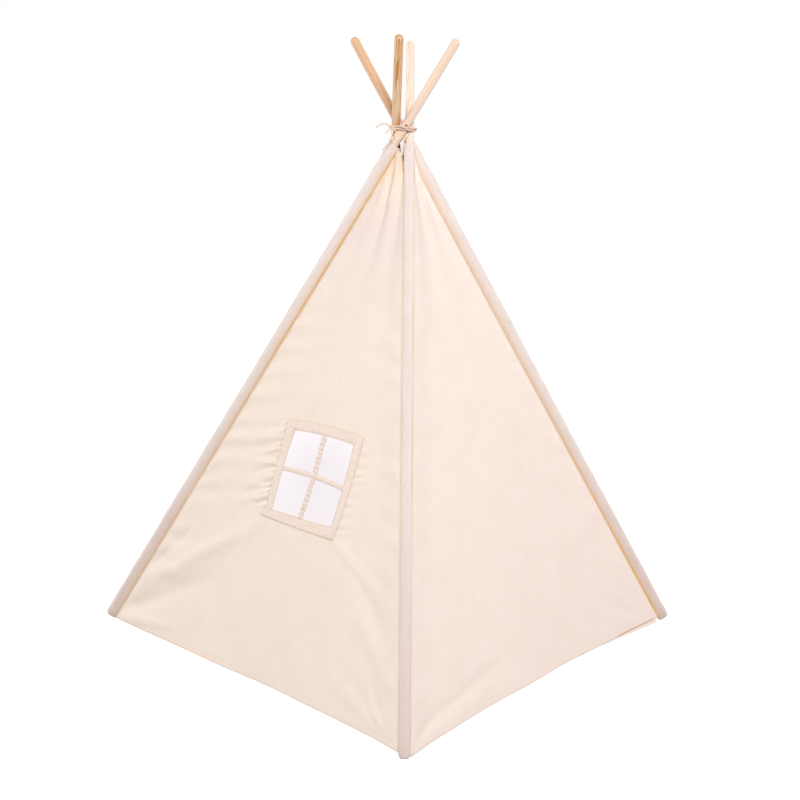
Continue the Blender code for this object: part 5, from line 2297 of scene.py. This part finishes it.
@dataclass
class Sleeves:
    """A canvas sleeve along each pole and the closed pocket that its foot stands in."""

    half_width: float = TENT.sleeve_half_width
    depth: float = TENT.sleeve_depth
    wall: float = 0.0011
    pocket_top: float = 0.030
    pocket_bottom: float = 0.016
    pocket_inset: float = 0.0025  # of the mesh from the pocket's bottom
    pocket_round: float = 0.0125
    pocket_steps: int = 14
    pocket_rows: int = 10
    pocket_size: tuple[float, float, float] = (0.50, 0.985, 0.935)  # sole, belly, under a sleeve
    pocket_wrinkle: float = 0.0002
    sleeve_bottom: float = -0.002  # its hem is folded over the pocket and sewn down
    top_below_crossing: float = 0.0487
    fold_gap: float = 0.0005  # between the first two rings, and the last two
    swell: float = 0.045  # of the hems' doubled cloth, as a share
    hem_band: float = 0.020
    hem_fade: float = 0.006
    flare_top: float = 0.030
    flare_run: float = 0.018
    tuck_run: float = 0.010
    wrinkle: float = 0.0014
    wrinkle_base: float = 0.45  # what the wrinkles' pattern starts from
    wrinkle_fade: float = 0.03
    broad_waves: tuple[float, float] = (45.0, 9.0)  # to a metre, across and along
    fine_waves: tuple[float, float] = (40.0, 34.0)
    fine_share: float = 0.7
    top_wrinkle: float = 1.2  # how much deeper the wrinkles are at the peak
    top_reach: tuple[float, float] = (0.15, 0.12)
    side_fade: float = 0.006
    seam_radius: float = 0.0013
    seam_rolls: tuple[tuple[float, float, float], ...] = (
        # a seam's thickness as a share, by corner: at the foot, its change and how fast that is
        (0.5, 0.0, 1.0), (1.25, -0.75, 1.0), (1.0, 0.0, 1.0), (0.25, 0.85, 1.5))
    seam_waves: float = 21.0  # of a seam's unevenness, to a metre
    seam_uneven: float = 0.35
    seam_out: float = 0.4  # these three as a share of the seam's radius
    seam_wander: float = 0.5
    seam_aside: float = 0.75
    seam_low: float = 0.006
    seam_below_top: float = 0.012
    seam_steps: int = 220
    seam_sides: int = 8
    arc_steps: int = 16
    side_steps: int = 4
    rows: int = 260

    @property
    def round_it(self) -> float:
        """Width of the cloth that goes round a pole."""
        return 2 * self.depth + (math.pi + 2) * self.half_width

    def outline(self) -> list[tuple[float, float]]:
        """Cross-section of a sleeve, from its rear corner round the pole and back.

        Returns:
            The outward and sideways place of each point.
        """
        shares = [step / self.side_steps for step in range(2 * self.side_steps + 1)]
        sides = shares[:self.side_steps + 1]
        angles = [math.pi * step / self.arc_steps - math.pi / 2
                  for step in range(self.arc_steps + 1)]
        return ([(-self.depth * (1 - share), -self.half_width) for share in sides[:-1]]
                + [(self.half_width * math.cos(angle), self.half_width * math.sin(angle))
                   for angle in angles]
                + [(-self.depth * share, self.half_width) for share in sides[1:]]
                + [(-self.depth, self.half_width * (1 - share)) for share in shares[1:-1]])

    def build(self, finishes: Finishes) -> None:
        """Build the four sleeves, their seams and the four pockets.

        Args:
            finishes: the tent's materials.
        """
        for number, corner in enumerate(Corner):
            self.build_sleeve(corner, number, finishes.sleeve)
            self.build_seams(corner, number, finishes.seams[corner])
            self.build_pocket(corner, number, finishes.sleeve)

    def build_seams(self, corner: Corner, number: int, finish: Material) -> None:
        """Build the stitched seam allowance in the groove on both sides of a sleeve.

        Args:
            corner: the sleeve's corner.
            number: its number.
            finish: the seams' material.
        """
        line = POLES[corner]
        high = line.crossing_along - self.top_below_crossing - self.seam_below_top
        hug = TENT.front_hug if corner is Corner.REAR_RIGHT else TENT.side_hug
        out = math.sqrt(2) * hug - self.depth
        start, change, speed = self.seam_rolls[number]
        for name, turn in (("first", -1), ("second", 1)):
            places, radii = [], []
            for step in range(self.seam_steps + 1):
                rise = step / self.seam_steps
                along = self.seam_low + (high - self.seam_low) * rise
                sway = noise.noise(Vector((along * self.seam_waves, turn * 3.0, number * 5.0)))
                places.append((
                    out + self.seam_radius * (self.seam_out + self.seam_wander * sway),
                    turn * (self.half_width + self.seam_radius * self.seam_aside), along))
                radii.append(self.seam_radius * (1 + self.seam_uneven * sway)
                             * (start + change * smooth_step(rise * speed)))
            shape = bmesh.new()
            add_tube(shape, np.array(places), np.array(radii), self.seam_sides)
            piece = new_object(finished_mesh(f"seam_{name}_{corner.label}", shape), finish,
                               line.matrix(0))
            settle(piece, corner.body, "cotton_canvas")

    def tube(self, name: str, stations: Sequence[tuple[float, float]], seed: float,
             wrinkle: float) -> Mesh:
        """Cloth tube along a pole's axis.

        Args:
            name: the mesh's name.
            stations: place along the pole and size as a share, for each ring.
            seed: start of the wrinkles' pattern.
            wrinkle: depth of the wrinkles.

        Returns:
            The mesh.
        """
        outline = self.outline()
        around = lengths_along(outline + outline[:1])
        shape = bmesh.new()
        seam = shape.verts.layers.float_vector.new("seam")
        rings = []
        bottom, top = stations[0][0], stations[-1][0]
        before_top, top_run = self.top_reach
        broad, fine = self.broad_waves, self.fine_waves
        for along, size in stations:
            ring = []
            depth = wrinkle * smooth_step((along - bottom) / self.wrinkle_fade)
            depth *= 1 + self.top_wrinkle * smooth_step((along - top + before_top) / top_run)
            for x, y in outline:
                bulge = noise.noise(Vector((x * broad[0] + seed, y * broad[0],
                                            along * broad[1])))
                bulge += self.fine_share * noise.noise(Vector((
                    x * fine[0], y * fine[0] + seed, along * fine[1])))
                out = depth * max(0.0, self.wrinkle_base + bulge) * smooth_step(
                    (x + self.depth) / self.side_fade)
                grown = size + out / max(math.hypot(x, y), 1e-6)
                vertex = shape.verts.new((grown * x, grown * y, along))
                # painted shade: a seam strength of 1 on the rear flanks, which the sleeve's
                # finish tints warm tan
                vertex[seam] = (abs(x + self.depth), top - along, 1.0 if x < 0 else 0.0)
                ring.append(vertex)
            rings.append(ring)
        bridge(shape, rings, lambda at, step: (around[step], stations[at][0]))
        if bottom < self.sleeve_bottom:
            shape.faces.new(rings[0][::-1])
        return finished_mesh(name, shape)

    def build_sleeve(self, corner: Corner, number: int, finish: Material) -> None:
        """Build one sleeve, with a turned hem at its top.

        Args:
            corner: the sleeve's corner.
            number: its number.
            finish: its material.
        """
        line = POLES[corner]
        low, high = self.sleeve_bottom, line.crossing_along - self.top_below_crossing
        runs = [low + (high - low) * row / self.rows for row in range(self.rows + 1)]
        runs[1:1], runs[-1:-1] = [low + self.fold_gap], [high - self.fold_gap]
        stations = []
        for along in runs:
            band = smooth_step((along - high + self.hem_band) / self.hem_fade)
            flare = smooth_step((self.flare_top - along) / self.flare_run)
            tuck = 1 - min((along - low) / self.tuck_run, 1.0)
            stations.append((along, 1.0 + self.swell * (band + flare - tuck ** 2)))
        mesh = self.tube(f"sleeve_cloth_{corner.label}", stations, 7.3 * number, self.wrinkle)
        piece = new_object(mesh, finish, line.matrix(0))
        thicken(piece, self.wall, -1.0)
        settle(piece, corner.body, "cotton_canvas", f"sleeve_{corner.label}")

    def build_pocket(self, corner: Corner, number: int, finish: Material) -> None:
        """Build one closed foot pocket, round below and level where it stands on the floor.

        Args:
            corner: the pocket's corner.
            number: its number.
            finish: its material.
        """
        sole, belly, covered = self.pocket_size
        bottom, top = self.pocket_inset - self.pocket_bottom, self.pocket_top - self.fold_gap
        angles = [math.pi / 2 * step / self.pocket_steps
                  for step in range(self.pocket_steps + 1)]
        stations = [(bottom + self.pocket_round * (1 - math.cos(angle)),
                     sole + (belly - sole) * math.sin(angle)) for angle in angles]
        low = bottom + self.pocket_round
        for step in range(1, self.pocket_rows + 1):
            along = low + (top - low) * step / self.pocket_rows
            stations.append((along, belly + (covered - belly) * smooth_step(
                (along - self.sleeve_bottom - 0.003) / self.hem_fade)))
        mesh = self.tube(f"foot_pocket_cloth_{corner.label}", stations, 3.1 + 5.0 * number,
                         self.pocket_wrinkle)
        piece = new_object(mesh, finish, POLES[corner].matrix(0))
        for vertex in mesh.vertices:
            placed = piece.matrix_world @ vertex.co
            if placed.z < 0:
                placed.z = 0
                vertex.co = piece.matrix_world.inverted() @ placed
        settle(piece, corner.body, "cotton_canvas", f"foot_pocket_{corner.label}")
        Cover.state(piece, (self.round_it, self.pocket_top + self.pocket_bottom),
                    f"dowel_lower_{corner.label}")


WINDOW_WALL_FOLDS = (
    Crease((0.041, 0.80), (0.028, 0.681), 0.009, 0.0036),
    Crease((-0.023, 0.750), (-0.047, 0.684), 0.014, 0.0032),
    Crease((-0.112, 0.401), (-0.153, 0.298), 0.018, 0.0040),
    Crease((0.179, 0.405), (0.354, 0.327), 0.014, 0.0045),
    Crease((0.254, 0.375), (0.458, 0.211), 0.022, -0.0036),
    Crease((0.321, 0.264), (0.500, 0.135), 0.018, 0.0030),
    Crease((0.342, 0.093), (0.519, 0.043), 0.015, 0.0030),
    Crease((0.014, 1.413), (0.021, 1.265), 0.006, 0.0045),
    Crease((0.022, 1.416), (-0.016, 1.305), 0.007, 0.0045),
    Crease((-0.520, 0.105), (-0.160, 0.350), 0.023, 0.0105),
    Crease((-0.548, 0.040), (-0.250, 0.200), 0.024, -0.0090),
    Crease((-0.480, 0.190), (-0.370, 0.310), 0.017, -0.0078),
    Crease((-0.569, 0.012), (-0.340, 0.046), 0.012, 0.0058),
    Crease((-0.31, 0.62), (-0.12, 0.60), 0.024, 0.0026),
    Fan((0.545, 0.012), 118, 176, 3.0, 0.45, 0.0016),
    Fan((0.012, 1.42), 245, 295, 3.5, 0.60, 0.0060),
    Puckers((-0.02, 1.34), (-0.16, 1.00), 0.036, 0.022, 0.0022, 0.6),
    Puckers((-0.100, 0.415), (-0.113, 0.680), 0.0185, 0.030, 0.0034, 0.25),
    Puckers((-0.108, 0.415), (-0.122, 0.680), 0.0410, 0.085, 0.0036, 0.25),
    Crease((-0.130, 0.548), (-0.235, 0.535), 0.010, 0.0034),
    Crease((-0.125, 0.490), (-0.190, 0.470), 0.009, 0.0034),
    Crease((-0.125, 0.452), (-0.200, 0.425), 0.009, 0.0032),
    Puckers((0.186, 0.665), (0.180, 0.410), 0.026, 0.030, 0.0018, 0.2),
    Puckers((0.165, 0.4035), (-0.10, 0.4035), 0.024, 0.010, 0.0007),
    Puckers((-0.16, 1.00), (-0.570, 0.03), 0.075, 0.110, 0.0042, 0.75),
    Puckers((0.575, 0.03), (0.16, 1.00), 0.085, 0.060, 0.0020, -0.75),
)
BACK_WALL_FOLDS = (
    Crease((-0.568, 0.020), (-0.470, 0.053), 0.010, -0.0050),
    Crease((-0.480, 0.052), (-0.180, 0.098), 0.014, -0.0052),
    Crease((0.185, 0.274), (0.536, 0.426), 0.034, 0.0040),
    Crease((0.019, 1.416), (0.025, 1.279), 0.007, 0.0045),
    Fan((0.545, 0.012), 118, 176, 3.0, 0.50, 0.0022),
    Fan((0.012, 1.42), 245, 295, 2.5, 0.60, 0.0036),
    Puckers((-0.16, 1.00), (-0.570, 0.03), 0.095, 0.060, 0.0016, 0.75),
    Puckers((0.575, 0.03), (0.16, 1.00), 0.080, 0.060, 0.0020, -0.75),
)
PLAIN_WALL_FOLDS = (
    Crease((-0.50, 0.06), (-0.16, 0.26), 0.022, 0.0044),
    Crease((0.22, 0.10), (0.50, 0.05), 0.015, 0.0044),
    Crease((-0.12, 0.55), (0.20, 0.48), 0.035, 0.0034),
    Fan((-0.545, 0.012), 5, 62, 3.0, 0.50, 0.0034),
    Fan((0.545, 0.012), 118, 176, 3.5, 0.50, 0.0034),
    Fan((0.012, 1.42), 245, 295, 3.0, 0.60, 0.0034),
    Puckers((-0.16, 1.00), (-0.570, 0.03), 0.085, 0.065, 0.0020, 0.75),
    Puckers((0.575, 0.03), (0.16, 1.00), 0.080, 0.060, 0.0020, -0.75),
)
DOOR_HEAD_FOLDS = (
    Fan((0.012, 1.42), 245, 295, 3.0, 0.45, 0.0034),
)


def build_walls(finishes: Finishes) -> None:
    """Build the four sides of the cover.

    Args:
        finishes: the tent's materials.
    """
    window_shape = WallShape(WallPlane(Side.WINDOW), WINDOW_WALL_FOLDS,
                             Hem(low=0.0040, arch=0.0, climb=0.0135, dip=0.0025), seed=5.0,
                             seam_shade=(1.0, 0.30), hugs=(TENT.side_hug, TENT.front_hug))
    back_shape = WallShape(WallPlane(Side.BACK), BACK_WALL_FOLDS,
                           Hem(low=0.0058, slope=0.0059, arch=0.0111), seed=11.0,
                           seam_shade=(0.30, 1.0), hugs=(TENT.front_hug, TENT.side_hug))
    plain_shape = WallShape(WallPlane(Side.PLAIN), PLAIN_WALL_FOLDS, seed=23.0)
    window = Window(window_shape)
    CanvasWall(Side.WINDOW, "wall_window_side", Corner.REAR_RIGHT, window_shape, columns=230,
               rows=260, fine_columns=(0.28, 0.75, 2.2), fine_rows=(0.27, 0.50, 3.0),
               opening=window.inside).build(finishes.wall)
    window.build(finishes)
    CanvasWall(Side.BACK, "wall_back", Corner.REAR_RIGHT, back_shape).build(finishes.blank_wall)
    TurnedHem(back_shape).build(finishes.turned)
    CanvasWall(Side.PLAIN, "wall_plain_side", Corner.FRONT_LEFT, plain_shape).build(finishes.wall)
    DoorWall(WallShape(WallPlane(Side.DOOR), DOOR_HEAD_FOLDS, seed=31.0)).build(finishes)


def main() -> None:
    """Build the tent and its studio."""
    logging.basicConfig(level=logging.INFO, format="%(message)s")
    finishes = Finishes()
    Studio().build()
    Lashing().build(finishes)
    Poles().build(finishes)
    Sleeves().build(finishes)
    build_walls(finishes)


if __name__ == "__main__":
    main()
